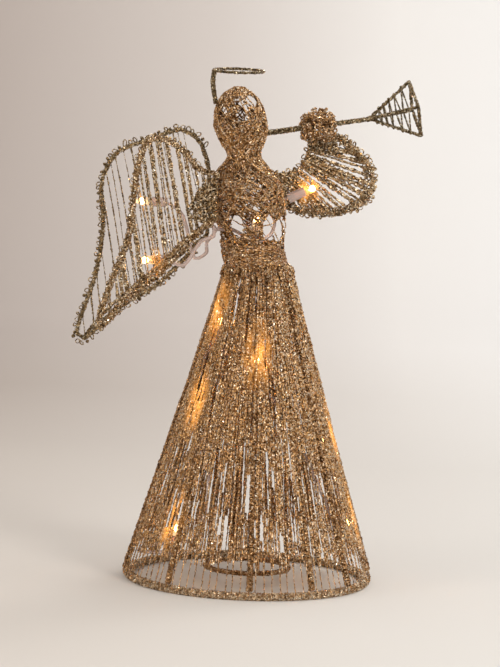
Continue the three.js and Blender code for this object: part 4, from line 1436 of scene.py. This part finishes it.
    def build(self) -> None:
        """Builds waist, bodice, head and halo."""
        self.build_waist()
        self.build_shell("bodice", self.body_radii, self.body_openings, self.body_threads, 330)
        self.build_shell("head", self.head_radii, self.head_openings, self.head_threads, 340)
        self.build_shoulders()
        crust = Crust(0.5 * MM, 0.4 * MM)
        coated("halo_coat", ["halo"], OLIVE, 320, crust, Dust(1.0))


# Trumpet and hand


@dataclass
class Trumpet:
    """The wrapped tube, the ribbed bell with its turns of wire, and the ruffled hand."""

    hand: Vector = Vector((32.48, -4.12, 275.32)) * MM
    aim: Vector = Vector((0.9787, -0.1288, 0.1599))
    loops: int = 230
    loop_steps: int = 9
    loop_wire: float = 0.46 * MM
    loop_radii: Span = (0.9, 1.9)
    loop_spread: Span = (0.8, 1.2)
    hand_seed: int = 41
    hand_length: float = 9.5
    hand_end: float = 12.5
    hand_reaches: Span = (3.0, 10.6)
    bell_length: float = 28.5 * MM
    bell_apex: Vector = Vector((62.8825, -8.1256, 280.4597)) * MM
    bell_aim: Vector = Vector((0.9620, -0.1266, 0.2419))
    bell_side: Vector = Vector((0.1305, 0.9914, 0.0))
    bell_up: Vector = Vector((-0.2399, 0.0316, 0.9703))
    bell_spreads: Span = (16.6, 14.2)
    bell_turn: float = 9
    bell_wire: float = 0.5 * MM
    bell_levels: tuple[float, ...] = (0.14, 0.24, 0.35, 0.48, 0.63, 0.8)
    bell_seed: int = 42
    bell_step: float = 1.3 * MM
    bell_drift: Span = (-0.015, 0.015)
    bell_lifts: Span = (0.5, 1.1)
    knot_reach: float = 0.75
    knot_radii: tuple[float, ...] = (0.7 * MM, 1.15 * MM, 0.7 * MM)

    def bell_corner(self, corner: int, share: float, lift: float) -> Vector:
        """A place on one of the bell's four ribs.

        Args:
            corner: The rib's number.
            share: How far along the bell it lies.
            lift: How far off the rib's middle.

        Returns:
            The place.
        """
        turn = math.radians(90 * corner + self.bell_turn)
        spread = self.bell_spreads[corner % 2] * MM * share + lift
        place = self.bell_apex + self.bell_aim * (self.bell_length * share)
        return place + (self.bell_up * math.cos(turn) + self.bell_side * math.sin(turn)) * spread

    def build_bell_turns(self) -> None:
        """Wires round the bell at even levels, each with a knot where it passes a rib."""
        rng = random.Random(self.bell_seed)
        routes = []
        for share in self.bell_levels:
            corners = []
            for i in range(4):
                along = share + rng.uniform(*self.bell_drift)
                corners.append(self.bell_corner(i, along, rng.uniform(*self.bell_lifts) * MM))
            line = finely(corners, self.bell_step, closed=True)
            routes.append(knobbly(line, self.bell_wire, Grain.FINE, rng, closed=True))
            for corner in corners:
                way = any_way(rng) * self.knot_reach * MM
                routes.append(Thread([corner - way, corner, corner + way], list(self.knot_radii)))
        dust, nodes = Dust(0.8, 0.28 * MM, OLIVE_FLAKES), ["trumpet_bell_winding"]
        strung("bell_turns", routes, OLIVE, 402, dust, nodes)

    def build_hand(self) -> None:
        """Many small crumpled loops round the tube, where the hand holds it."""
        rng = random.Random(self.hand_seed)
        side = self.aim.cross(Vector((0, 0, 1))).normalized()
        up = side.cross(self.aim)
        routes = []
        for _ in range(self.loops):
            around = rng.uniform(0, math.tau)
            out = side * math.cos(around) + up * math.sin(around)
            along = rng.uniform(-self.hand_length, self.hand_length)
            rounded = math.sqrt(1 - (along / self.hand_end) ** 2)
            away = rng.uniform(*self.hand_reaches) * rounded
            middle = self.hand + (self.aim * along + out * away) * MM
            first = any_way(rng)
            second = first.cross(out).normalized()
            radius = rng.uniform(*self.loop_radii) * MM
            reaches = [radius * rng.uniform(*self.loop_spread) for _ in range(self.loop_steps)]
            loop = ring(middle, first, second, reaches)
            routes.append(knobbly(loop, self.loop_wire, Grain.FINE, rng, closed=True))
        strung("hand_loops", routes, GOLD, 410, Dust(0.9, 0.4 * MM), ["hand_ruffle"])

    def build(self) -> None:
        """Builds the trumpet and the hand."""
        crust = Crust(0.7 * MM, 0.4 * MM)
        coated("trumpet_coat", ["trumpet_tube"], OLIVE, 400, crust, Dust(1.2))
        crust, dust = Crust(0.8 * MM, 0.36 * MM, 0.2), Dust(1.0, 0.3 * MM)
        coated("bell_coat", ["trumpet_bell_frame"], OLIVE, 401, crust, dust)
        self.build_bell_turns()
        self.build_hand()


# Wings and sleeve


class Side(Enum):
    """Which wing it is, with the sign of its Y."""

    LEFT = 1
    RIGHT = -1

    @property
    def word(self) -> str:
        """Returns the side's name as the CAD nodes spell it."""
        return self.name.lower()


@dataclass
class WiredPanel:
    """A flat, upright panel with a wired outline, its strands and its looped edging."""

    name: str
    body: str
    origin: Vector
    along: Vector
    off: Vector
    outline: Line
    seed: int
    finish: GlitterFinish
    flakes: FlakeFinish
    loop_radius: float = 1.5 * MM
    loop_wire: float = 0.36 * MM
    loop_pitch: float = 3.7 * MM
    loop_steps: int = 9
    loop_offset: float = 2.3 * MM
    knots: float = 0.45  # share of the loops that are drawn into knots
    knot_sizes: Span = (0.35, 0.5)
    loop_sizes: Span = (0.75, 1.1)
    loop_breadths: Span = (0.7, 1.0)
    loop_heights: Span = (0.8, 1.3)
    loop_outs: Span = (-1.3, 0.1)
    loop_shifts: Span = (-0.9, 0.9)
    loop_leans: Span = (-1.0, 1.0)
    loop_skews: Span = (-0.5, 0.5)
    loop_wires: Span = (0.85, 1.25)
    knot_wire: float = 1.7
    strand_step: float = 1.2 * MM

    def place(self, row: Vector, off: float = 0.0) -> Vector:
        """Returns the place of a row (its distance along and its height), off the panel by off."""
        spot = self.origin + self.along * row.x + self.off * off
        return Vector((spot.x, spot.y, row.y))

    def strand(self, low: Vector, high: Vector) -> Line:
        """Returns the fine line between two rows on the panel."""
        return finely([self.place(low), self.place(high)], self.strand_step)

    def inset(self, points: Line, distance: float) -> Line:
        """Draws a closed outline in, or lets it out where the distance is below zero.

        Args:
            points: The outline.
            distance: How far it goes in.

        Returns:
            The new outline.
        """
        made = []
        for i, point in enumerate(points):
            run = (points[(i + 1) % len(points)] - points[i - 1]).normalized()
            made.append(point + Vector((run.y, -run.x, 0)) * distance)
        return made

    def loops(self, first: int, last: int) -> list[Thread]:
        """Small round loops that stand out along part of the outline.

        Args:
            first: The outline's first point that has loops.
            last: The one after the last.

        Returns:
            The loops as closed threads.
        """
        rng = random.Random(self.seed)
        track = self.inset(self.outline, -self.loop_offset)[first:last]
        length = sum((b - a).length for a, b in zip(track, track[1:]))
        count = round(length / self.loop_pitch)
        spots = walk_evenly(track, count)
        made = []
        for i in range(1, count):
            run = (spots[i + 1] - spots[i - 1]).normalized()
            out = Vector((-run.y, run.x, 0))
            knot = rng.random() < self.knots
            grown = rng.uniform(*(self.knot_sizes if knot else self.loop_sizes))
            wide = self.loop_radius * grown * rng.uniform(*self.loop_breadths)
            tall = self.loop_radius * grown * rng.uniform(*self.loop_heights)
            outwards = out * (rng.uniform(*self.loop_outs) * MM)
            middle = spots[i] + outwards + run * rng.uniform(*self.loop_shifts) * MM
            lean = rng.uniform(*self.loop_leans)
            skew = rng.uniform(*self.loop_skews)
            loop = []
            for step in range(self.loop_steps):
                turn = math.tau * step / self.loop_steps
                across, up = wide * math.cos(turn), tall * math.sin(turn)
                flat = middle + run * (across + skew * up) + out * up
                loop.append(self.place(flat, lean * across))
            wire = self.loop_wire * (self.knot_wire if knot else rng.uniform(*self.loop_wires))
            made.append(knobbly(loop, wire, Grain.MIDDLING, rng, closed=True))
        return made

    def build_loops(self, routes: list[Thread], node: str) -> None:
        """Builds the looped edging, which replaces the CAD edging, as one piece."""
        name, dust = f"{self.name}_edging", Dust(0.9, 0.26 * MM, self.flakes)
        strung(name, routes, self.finish, self.seed + 1, dust, [node], self.body)

    def build_frame(self, nodes: list[str], crust: Crust) -> None:
        """Coats the frame wire and what is wound on it.

        Args:
            nodes: The CAD wires that the coat replaces.
            crust: The coat's lumps.
        """
        flakes = DARK_FLAKES if self.flakes is PALE_FLAKES else self.flakes
        name, dust = f"{self.name}_frame_coat", Dust(2.0, 0.4 * MM, flakes)
        coated(name, nodes, self.finish, self.seed + 2, crust, dust, self.body)

    def build_strands(self, routes: list[Thread], node: str) -> None:
        """Builds the strands across the panel, which replace the CAD strands, as one piece."""
        name, dust = f"{self.name}_strand_threads", Dust(1.1, 0.42 * MM, self.flakes)
        strung(name, routes, self.finish, self.seed + 3, dust, [node], self.body)


def crossings(outline: Line, along: float, slant: float, level: float) -> tuple[Vector, Vector]:
    """The lowest and highest places where a slanted line crosses an outline.

    Args:
        outline: The closed outline.
        along: Where the line stands at its level.
        slant: How far it leans outwards for each metre of rise.
        level: The height at which along is read.

    Returns:
        The low place and the high one.
    """
    found = []
    for a, b in zip(outline, outline[1:] + outline[:1]):
        off_a = a.x - along - (a.y - level) * slant
        off_b = b.x - along - (b.y - level) * slant
        if off_a * off_b < 0:
            found.append(a.lerp(b, off_a / (off_a - off_b)))
    found.sort(key=lambda spot: spot.y)
    return found[0], found[-1]


# Each row of an outline is a share of the wing's breadth and a share of its height.
LEFT_WING: Rows = (
    (0, 0.81), (0.075, 0.94), (0.21, 0.995), (0.46, 0.94), (0.69, 0.88), (0.805, 0.745),
    (0.785, 0.54), (0.82, 0.33), (0.955, 0.01), (0.91, 0), (0.675, 0.145), (0.35, 0.28),
    (0.15, 0.41), (0, 0.515),
)
RIGHT_WING: Rows = (
    (0, 0.81), (0.15, 0.83), (0.3, 0.92), (0.46, 0.97), (0.6, 0.975), (0.69, 0.875),
    (0.73, 0.685), (0.76, 0.525), (0.9, 0.325), (1, 0.13), (0.96, 0.135), (0.75, 0.25),
    (0.475, 0.36), (0.22, 0.505), (0, 0.605),
)


@dataclass
class Wing:
    """One wing on its hinge line behind the bodice; the right one is near the camera."""

    side: Side
    hinge_x: float = -30.434 * MM
    root_gap: float = 8.0 * MM
    sweep: float = math.radians(20)
    breadth: float = 80.0 * MM
    foot: float = 141.0 * MM
    height: float = 130.0 * MM
    outline_steps: int = 96
    slants: Rows = ((0, 14), (0.75, 12), (1, 2))
    strand_inset: float = 1.0 * MM
    strand_root: float = 8 * MM
    strand_shares: tuple[float, ...] = (0.55, 0.8, 1.0, 1.3)
    strand_shift: Span = (-0.3, 0.3)
    strand_leans: Span = (-1.2, 1.2)  # in degrees
    sways: Span = (-0.5, 0.5)
    waves: Span = (-0.35, 0.35)
    pairs: float = 0.6  # share of the near wing's strands that have a thinner one beside them
    pair_gap: float = 1.5 * MM
    pair_wire: float = 0.7
    mass_turns: int = 170
    mass_steps: int = 8
    mass_outs: Place = (-1, 18, 3)  # least, most and likeliest, along the wing
    mass_depths: Span = (-1.8, 1.8)
    mass_reaches: Span = (1.0, 2.2)
    mass_wire: float = 0.5 * MM

    def panel(self) -> WiredPanel:
        """Returns the wing's flat panel with its smooth outline.

        Returns:
            The panel.
        """
        sign = self.side.value
        near = self.side is Side.RIGHT
        rows = RIGHT_WING if near else LEFT_WING
        edge = [Vector((self.breadth * a, self.foot + self.height * r, 0)) for a, r in rows]
        return WiredPanel(
            name=f"{self.side.word}_wing",
            body=f"{self.side.word}_wing",
            origin=Vector((self.hinge_x, sign * self.root_gap, 0)),
            along=Vector((-math.cos(self.sweep), sign * math.sin(self.sweep), 0)),
            off=Vector((-math.sin(self.sweep), -sign * math.cos(self.sweep), 0)),
            outline=smooth_line(edge, self.outline_steps),
            seed=500 if near else 600,
            # Lit and shaded copies of one coat: the near wing lighter with pale flakes, the far
            # wing darker and more olive, as painted light and shade.
            finish=NEAR_GOLD if near else SHADED_WING_GOLD,
            flakes=PALE_FLAKES if near else OLIVE_FLAKES,
        )

    def strands(self, panel: WiredPanel, count: int, radius: float, pairs: bool) -> list[Thread]:
        """The strands, slanted near the root and upright near the tip.

        Args:
            panel: The wing's panel.
            count: How many strands.
            radius: A strand's radius.
            pairs: Whether a strand may have a thinner one beside it.

        Returns:
            The strands.
        """
        rng = random.Random(panel.seed + 7)
        inside = panel.inset(panel.outline, self.strand_inset)
        reach = max(row.x for row in inside)
        made = []
        for i in range(count):
            share = (i + 1 + rng.uniform(*self.strand_shift)) / (count + 0.5)
            along = -self.strand_root + (reach + self.strand_root) * share
            level = self.foot + self.height * (0.45 - 0.25 * share)
            lean = read_table(self.slants, share) + rng.uniform(*self.strand_leans)
            slant = math.tan(math.radians(lean))
            thickness = radius * rng.choice(self.strand_shares)
            for step in range(2 if pairs and rng.random() < self.pairs else 1):
                line = panel.strand(*crossings(inside, along + step * self.pair_gap, slant, level))
                sway, wave = rng.uniform(*self.sways) * MM, rng.uniform(*self.waves) * MM
                for k, point in enumerate(line):
                    turn = math.pi * k / len(line)
                    bend = panel.off * sway * math.sin(turn)
                    point += bend + panel.along * wave * math.sin(2 * turn)
                wire = thickness * (self.pair_wire if step else 1.0)
                made.append(knobbly(line, wire, Grain.COARSEST, rng))
        return made

    def root_mass(self, panel: WiredPanel) -> list[Thread]:
        """Crumpled turns where the near wing is tied to the shoulder.

        Args:
            panel: The wing's panel.

        Returns:
            The turns as closed threads.
        """
        rng = random.Random(panel.seed + 8)
        made = []
        for _ in range(self.mass_turns):
            row = Vector((rng.triangular(*self.mass_outs), 0, 0))
            row.y = rng.uniform(214 + 0.45 * row.x, 246 - 0.95 * row.x)
            spot = panel.place(row * MM, rng.uniform(*self.mass_depths) * MM)
            first = any_way(rng)
            reaches = [rng.uniform(*self.mass_reaches) * MM] * self.mass_steps
            loop = ring(spot, first, first.cross(panel.off).normalized(), reaches)
            made.append(knobbly(loop, self.mass_wire, Grain.MIDDLING, rng, closed=True))
        return made

    def build(self) -> None:
        """Builds the wing's coated frame, strands and edging."""
        panel = self.panel()
        word = self.side.word
        near = self.side is Side.RIGHT
        crust = Crust(1.7 * MM, level=0.2) if near else Crust(1.2 * MM, level=0.4)
        panel.build_frame([f"{word}_wing_frame", f"{word}_wing_rib"], crust)
        count, wire = (18, 0.9 * MM) if near else (17, 0.36 * MM)
        panel.build_strands(self.strands(panel, count, wire, near), f"{word}_wing_strands")
        loops = panel.loops(4, len(panel.outline) - 3)
        mass = self.root_mass(panel) if near else []
        panel.build_loops(loops + mass, f"{word}_wing_loops")
        ties = [f"{word}_wing_tie_lower", f"{word}_wing_tie_upper"]
        crust = Crust(0.3 * MM, 0.25 * MM)
        coated(f"{word}_tie_coat", ties, BROWN, panel.seed + 9, crust)


@dataclass
class Sleeve:
    """The raised left sleeve on its own upright plane; its shares are of its reach and height."""

    yaw: float = math.radians(-15)
    depth: float = 12.6 * MM
    reach: float = 68.0 * MM
    height: float = 48.0 * MM
    hem: float = 221.6 * MM
    inner_root: Span = (2.03, 243.44)
    inner_shares: Rows = ((0.25, 0.5), (0.34, 0.575), (0.39, 0.7), (0.415, 0.82), (0.405, 0.925))
    outer_shares: Rows = (
        (0.55, 0.925), (0.69, 0.965), (0.8, 0.84), (0.93, 0.66), (0.98, 0.46), (0.955, 0.25),
        (0.87, 0.13), (0.76, 0.06), (0.58, 0.015), (0.4, 0.03),
    )
    outer_root: Span = (11.6, 225.2)
    inner_steps: int = 30
    outer_steps: int = 60
    strands: int = 22
    strand_shift: Span = (-0.25, 0.25)
    crowding: float = 1.12  # above 1, the strands stand closer near the root
    foot_share: float = 0.86  # of the outer edge, where the last strand ends
    strand_wires: tuple[float, ...] = (0.75, 1.0, 1.25, 1.5)
    walk: int = 400
    edge_loops: int = 230
    hand_loops: int = 100
    root_loops: int = 90
    loop_steps: int = 8
    loop_reaches: Span = (1.0, 1.6)
    loop_depths: Span = (-2.2, 2.2)
    loop_wire: float = 0.4 * MM
    edge_spans: tuple[Span, Span] = ((-4.6, 0.4), (-1.5, 1.5))
    hand_spans: tuple[Span, Span] = ((27, 45), (258, 269))
    root_outs: Span = (1, 15)

    def rows(self, shares: Rows) -> Line:
        """Returns rows on the panel from shares of its reach and height."""
        return [Vector((self.reach * a, self.hem + self.height * r, 0)) for a, r in shares]

    def build_strands(
        self, panel: WiredPanel, inner: Line, outer: Line, rng: random.Random
    ) -> None:
        """Builds the strands that fan out from the inner edge.

        Args:
            panel: The sleeve's panel.
            inner: Its inner edge.
            outer: Its outer edge, from the hand down.
            rng: The source of randomness.
        """
        feet = walk_evenly(outer[:2:-1], self.walk)
        tops = walk_evenly(inner[2:], self.walk)
        routes = []
        for i in range(self.strands):
            share = ((i + 0.5 + rng.uniform(*self.strand_shift)) / self.strands) ** self.crowding
            foot = feet[round(self.walk * share * self.foot_share)]
            line = panel.strand(foot, tops[round(self.walk * share)])
            routes.append(knobbly(line, rng.choice(self.strand_wires) * MM, Grain.COARSE, rng))
        panel.build_strands(routes, "sleeve_strands")

    def crumple(self, panel: WiredPanel, outer: Line, rng: random.Random) -> list[Thread]:
        """Small crumpled loops along the outer edge, by the hand and at the root.

        Args:
            panel: The sleeve's panel.
            outer: Its outer edge.
            rng: The source of randomness.

        Returns:
            The loops as closed threads.
        """
        made = []
        by_hand = self.edge_loops + self.hand_loops
        for index in range(by_hand + self.root_loops):
            if index >= by_hand:
                out = rng.uniform(*self.root_outs)
                row = Vector((out, rng.uniform(225 + 0.1 * out, 243 - 0.25 * out), 0)) * MM
            elif index < self.edge_loops:
                edge = rng.choice(outer[2:-6])
                row = edge + Vector((*[rng.uniform(*span) for span in self.edge_spans], 0)) * MM
            else:
                row = Vector((*[rng.uniform(*span) for span in self.hand_spans], 0)) * MM
            spot = panel.place(row) + panel.off * rng.uniform(*self.loop_depths) * MM
            first = any_way(rng)
            reaches = [rng.uniform(*self.loop_reaches) * MM for _ in range(self.loop_steps)]
            loop = ring(spot, first, first.cross(panel.off).normalized(), reaches)
            made.append(knobbly(loop, self.loop_wire, Grain.FINE, rng, closed=True))
        return made

    def build(self) -> None:
        """Builds the sleeve's frame coat, strands and edging."""
        inner_root = Vector((*self.inner_root, 0)) * MM
        outer_root = Vector((*self.outer_root, 0)) * MM
        inner = smooth_line([inner_root] + self.rows(self.inner_shares), self.inner_steps)
        outer = smooth_line(self.rows(self.outer_shares) + [outer_root], self.outer_steps)
        off = Vector((-math.sin(self.yaw), math.cos(self.yaw), 0))
        panel = WiredPanel(
            name="sleeve",
            body=ROOT_BODY,
            origin=off * self.depth,
            along=outward(self.yaw),
            off=off,
            outline=inner + outer,
            seed=700,
            finish=NEAR_GOLD,
            flakes=WARM_FLAKES,
            loop_wire=0.42 * MM,
            loop_pitch=3.3 * MM,
        )
        panel.build_frame(["sleeve_frame"], Crust(1.5 * MM))
        rng = random.Random(71)
        self.build_strands(panel, inner, outer, rng)
        loops = panel.loops(len(inner) + 2, len(panel.outline) - 4)
        loops += panel.loops(3, len(inner) - 2)
        panel.build_loops(loops + self.crumple(panel, outer, rng), "sleeve_loops")


# Lamps


@dataclass
class Lamps:
    """The push-in lamps: glass, plug and light, and the wires that feed them."""

    plug_radius: float = 1.85 * MM
    plug_length: float = 6.6 * MM
    plug_middle: float = -5.0 * MM
    plug_top: float = -1.8 * MM
    sides: int = 16
    smooth_below: float = math.radians(50)
    rises: Rows = (
        (0.1, 1.32), (0.6, 1.02), (3.2, 1.0), (2.0, 0.86), (1.7, 0.72), (1.3, 0.62), (0.9, 0.45),
    )
    core_radius: float = 0.5 * MM
    core_middle: float = 2.6 * MM
    core_stretch: float = 3.6
    power: float = 0.006
    colour: Colour = (1.0, 0.55, 0.18)
    light_radius: float = 2.2 * MM
    light_forward: float = 3.5 * MM

    def feet(self) -> dict[str, tuple[Vector, Vector]]:
        """Reads each lamp's middle and the way it points from the CAD.

        Returns:
            The middle and the way, by the lamp's node.
        """
        found = {}
        for joint in frame["record"]["behaviour"]["joints"]:
            if joint["type"] == "slide":
                node = joint["child"].removesuffix("_body")
                low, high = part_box(node)
                middle = (Vector(low) + Vector(high)) / 2
                found[node] = (middle, Vector(joint["axis"]).normalized())
        return found

    def model(self) -> bpy.types.Object:
        """Models one lamp from a primitive: a round plug, a waist and a pointed glass.

        Returns:
            The lamp, pointing along +Z with its middle at the origin.
        """
        bpy.ops.object.select_all(action="DESELECT")
        bpy.ops.mesh.primitive_cylinder_add(
            vertices=self.sides,
            radius=self.plug_radius,
            depth=self.plug_length,
            location=(0, 0, self.plug_middle),
        )
        lamp = bpy.context.active_object
        bpy.ops.object.transform_apply(location=True)
        edit("DESELECT")
        bpy.ops.object.mode_set(mode="OBJECT")
        max(lamp.data.polygons, key=lambda face: face.center.z).select = True
        bpy.ops.object.mode_set(mode="EDIT")
        for rise, grow in self.rises:
            bpy.ops.mesh.extrude_region_move(TRANSFORM_OT_translate={"value": (0, 0, rise * MM)})
            bpy.ops.transform.resize(value=(grow, grow, 1))
        bpy.ops.object.mode_set(mode="OBJECT")
        bpy.ops.object.shade_smooth_by_angle(angle=self.smooth_below)
        lamp.data.materials.append(BULB.material())
        lamp.data.materials.append(CORD.material())
        for face in lamp.data.polygons:
            face.material_index = 1 if face.center.z < self.plug_top else 0
        bpy.ops.object.select_all(action="DESELECT")
        middle = (0, 0, self.core_middle)
        bpy.ops.mesh.primitive_ico_sphere_add(
            subdivisions=2, radius=self.core_radius, location=middle
        )
        core = bpy.context.active_object
        bpy.ops.transform.resize(value=(1, 1, self.core_stretch), center_override=middle)
        bpy.ops.object.transform_apply(location=True, rotation=True, scale=True)
        core.data.materials.append(LIT.material())
        return join("lamp_pattern", [lamp, core])

    def build(self) -> None:
        """Places the lamps, their lights and the wires' finish."""
        pattern = self.model()
        for node, (middle, aim) in self.feet().items():
            glass = show(f"{node}_glass", pattern.data.copy())
            turn = aim.to_track_quat("Z", "Y").to_matrix().to_4x4()
            glass.data.transform(Matrix.Translation(middle) @ turn)
            dress(glass, [node], f"{node}_body")
            glass.visible_shadow = False
            light = bpy.data.lights.new(f"{node}_light", "POINT")
            light.energy = self.power
            light.color = self.colour
            light.shadow_soft_size = self.light_radius
            show(light.name, light).location = middle + aim * self.light_forward
        bpy.data.objects.remove(pattern, do_unlink=True)
        for place in ("skirt", "upper", "left_wing", "right_wing"):
            mesh = frame["nodes"][f"{place}_lamp_wire"].data
            mesh.materials.clear()
            mesh.materials.append(CORD.material())


# The studio


@dataclass(frozen=True)
class StudioPaint(Finish):
    """The paint of the floor and wall, darker to the left as painted shade, and clear from behind
    the wall.
    """

    turn: float
    # The wall and floor tones are darker to the left: painted shade.
    wall: Tones = (
        (0.0, (0.49, 0.44, 0.42)), (0.45, (0.65, 0.61, 0.595)), (0.8, (0.83, 0.82, 0.82)),
        (1.0, (0.84, 0.84, 0.85)),
    )
    floor: Tones = (
        (0.0, (0.60, 0.555, 0.52)), (0.5, (0.67, 0.64, 0.615)), (1.0, (0.72, 0.71, 0.70)),
    )
    # The band is a painted shadow on the left of the floor behind the object.
    band: Tones = (
        (0.0, (1, 1, 1)), (0.3, (0.80, 0.78, 0.77)), (0.5, (0.76, 0.73, 0.71)),
        (0.8, (0.98, 0.97, 0.96)),
    )
    across: Span = (-0.26, 0.22)
    sweep: Span = (0.45, 1.1)
    shadow_depths: Span = (0.1, 1.5)

    def paint(self, desk: Wiring, shader: bpy.types.Node) -> None:
        """Fades the floor into the wall, darker to the left as painted shade, and paints a shadow
        band on the left.

        Args:
            desk: The material's nodes.
            shader: Its Principled shader.
        """
        rotation = (0, 0, self.turn)
        turned = desk.add("ShaderNodeMapping", {"Vector": desk.place(), "Rotation": rotation})
        place = desk.add("ShaderNodeSeparateXYZ", {"Vector": turned.outputs["Vector"]}).outputs
        spread = desk.mapped(place["X"], *self.across)
        wall, floor = desk.ramp(spread, self.wall), desk.ramp(spread, self.floor)
        plain = desk.blend("MIX", desk.mapped(place["Y"], *self.sweep), floor, wall)
        # Painted shadow: the band darkens the floor, most on the left.
        band = desk.ramp(desk.mapped(place["Y"], *self.shadow_depths), self.band)
        shade = desk.mapped(spread, 0.0, 1.0, 1.0, 0.0)
        tone = desk.blend("MULTIPLY", shade, plain, band)
        desk.feed(shader, {"Base Color": tone, "Roughness": 0.9, "Specular IOR Level": 0.1})
        back = desk.add("ShaderNodeNewGeometry").outputs["Backfacing"]
        clear = desk.add("ShaderNodeBsdfTransparent").outputs["BSDF"]
        scrim = desk.add("ShaderNodeMixShader", {0: back, 1: shader.outputs["BSDF"], 2: clear})
        output = next(node for node in desk.tree.nodes if node.type == "OUTPUT_MATERIAL")
        desk.feed(output, {"Surface": scrim.outputs["Shader"]})


@dataclass
class Studio:
    """The pale floor and backdrop, the soft lamps and the camera."""

    azimuth: float = math.radians(-15)
    distance: float = 2.9
    eye_height: float = 0.527
    target_shift: float = -0.003498
    target_height: float = 0.149351
    lens: float = 263.07
    sensor: float = 36.0
    roll: float = math.radians(2.2)
    clip: Span = (0.1, 50.0)
    floor_size: float = 5.0
    floor_middle: float = -1.3
    floor_edge: float = 1.1
    bend_steps: int = 12
    bend_angle: float = 7.5
    bend_step: float = 0.09
    wall_height: float = 3.0
    lamp_aim: Vector = Vector((0, 0, 0.15))
    sky: Tones = (
        (0.0, (0.36, 0.33, 0.30)), (0.55, (0.62, 0.59, 0.56)), (0.8, (1.7, 1.65, 1.55)),
    )
    sky_panes: float = 2.6
    sky_strength: float = 0.95

    def build_camera(self) -> None:
        """Puts the camera where the photograph was taken from."""
        sine, cosine = math.sin(self.roll), math.cos(self.roll)
        right = outward(self.azimuth)
        eye = Vector((right.y, -right.x, 0)) * self.distance
        eye.z = self.eye_height
        target = right * self.target_shift + Vector((0, 0, self.target_height))
        back = (eye - target).normalized()
        level = Vector((0, 0, 1)).cross(back).normalized()
        upright = back.cross(level)
        axes = (level * cosine + upright * sine, upright * cosine - level * sine, back)
        data = bpy.data.cameras.new("camera")
        data.lens = self.lens
        data.sensor_width = self.sensor
        data.sensor_height = self.sensor
        data.sensor_fit = "VERTICAL"
        data.clip_start, data.clip_end = self.clip
        camera = show("camera", data)
        camera.matrix_world = Matrix.Translation(eye) @ Matrix(axes).transposed().to_4x4()
        bpy.context.scene.camera = camera

    def build_backdrop(self) -> None:
        """A floor that sweeps up into a wall behind the object."""
        bpy.ops.object.select_all(action="DESELECT")
        middle = (0, self.floor_middle, 0)
        bpy.ops.mesh.primitive_plane_add(size=self.floor_size, location=middle)
        sweep = bpy.context.active_object
        sweep.name = "studio_sweep"
        bpy.ops.object.transform_apply(location=True)
        edit("DESELECT", "EDGE")
        bpy.ops.object.mode_set(mode="OBJECT")
        corners = sweep.data.vertices
        for edge in sweep.data.edges:
            edge.select = all(corners[i].co.y > self.floor_edge for i in edge.vertices)
        bpy.ops.object.mode_set(mode="EDIT")
        turns = [math.radians(self.bend_angle * (i + 0.5)) for i in range(self.bend_steps)]
        moves = [
            (0, self.bend_step * math.cos(turn), self.bend_step * math.sin(turn)) for turn in turns
        ]
        for move in [*moves, (0, 0, self.wall_height)]:
            bpy.ops.mesh.extrude_region_move(TRANSFORM_OT_translate={"value": move})
        bpy.ops.object.mode_set(mode="OBJECT")
        sweep.data.transform(Matrix.Rotation(self.azimuth, 4, "Z"))
        edit("SELECT", "EDGE")
        bpy.ops.mesh.normals_make_consistent(inside=False)
        bpy.ops.object.mode_set(mode="OBJECT")
        if sweep.data.polygons[0].normal.z < 0:
            sweep.data.flip_normals()
        bpy.ops.object.shade_smooth()
        sweep.data.materials.append(StudioPaint("studio_paint", -self.azimuth).material())

    def area(self, name: str, place: Place, size: float, power: float, colour: Colour) -> None:
        """Adds one soft lamp that faces the object.

        Args:
            name: The lamp's name.
            place: Where it stands, turned with the camera.
            size: Its side.
            power: Its power in watts.
            colour: Its colour.
        """
        data = bpy.data.lights.new(name, "AREA")
        data.size = size
        data.energy = power
        data.color = colour
        lamp = show(name, data)
        lamp.location = Matrix.Rotation(self.azimuth, 3, "Z") @ Vector(place)
        lamp.rotation_mode = "QUATERNION"
        lamp.rotation_quaternion = (lamp.location - self.lamp_aim).to_track_quat("Z", "Y")

    def build_world(self) -> None:
        """Surrounds the studio with panes of light, which the glitter mirrors."""
        world = bpy.data.worlds.new("studio_world")
        bpy.context.scene.world = world
        world.use_nodes = True
        desk = Wiring(world.node_tree)
        way = desk.add("ShaderNodeTexCoord").outputs["Generated"]
        panes = desk.add("ShaderNodeTexVoronoi", {"Scale": self.sky_panes, "Vector": way})
        apart = desk.add("ShaderNodeSeparateColor", {"Color": panes.outputs["Color"]})
        tone = desk.ramp(apart.outputs["Red"], self.sky)
        sky = world.node_tree.nodes["Background"]
        desk.feed(sky, {"Color": tone, "Strength": self.sky_strength})

    def build(self) -> None:
        """Builds the studio and the camera."""
        self.build_world()
        self.area("key_lamp", (1.3, -1.5, 1.6), 0.7, 16.0, (1.0, 0.96, 0.9))
        self.area("fill_lamp", (-1.8, -1.2, 1.0), 0.9, 8.0, (1.0, 0.93, 0.85))
        self.area("rim_lamp", (0.8, 1.0, 1.5), 0.6, 7.0, (1.0, 0.97, 0.93))
        self.build_backdrop()
        self.build_camera()
        bpy.context.scene.view_settings.view_transform = "Standard"


def main() -> None:
    """Builds the topper's pieces in order and then the studio."""
    logging.basicConfig(level=logging.INFO, format="%(name)s: %(message)s")
    assemblies = (
        Skirt(), Torso(), Trumpet(), Wing(Side.LEFT), Wing(Side.RIGHT), Sleeve(), Lamps(), Studio(),
    )
    for assembly in assemblies:
        assembly.build()


if __name__ == "__main__":
    main()
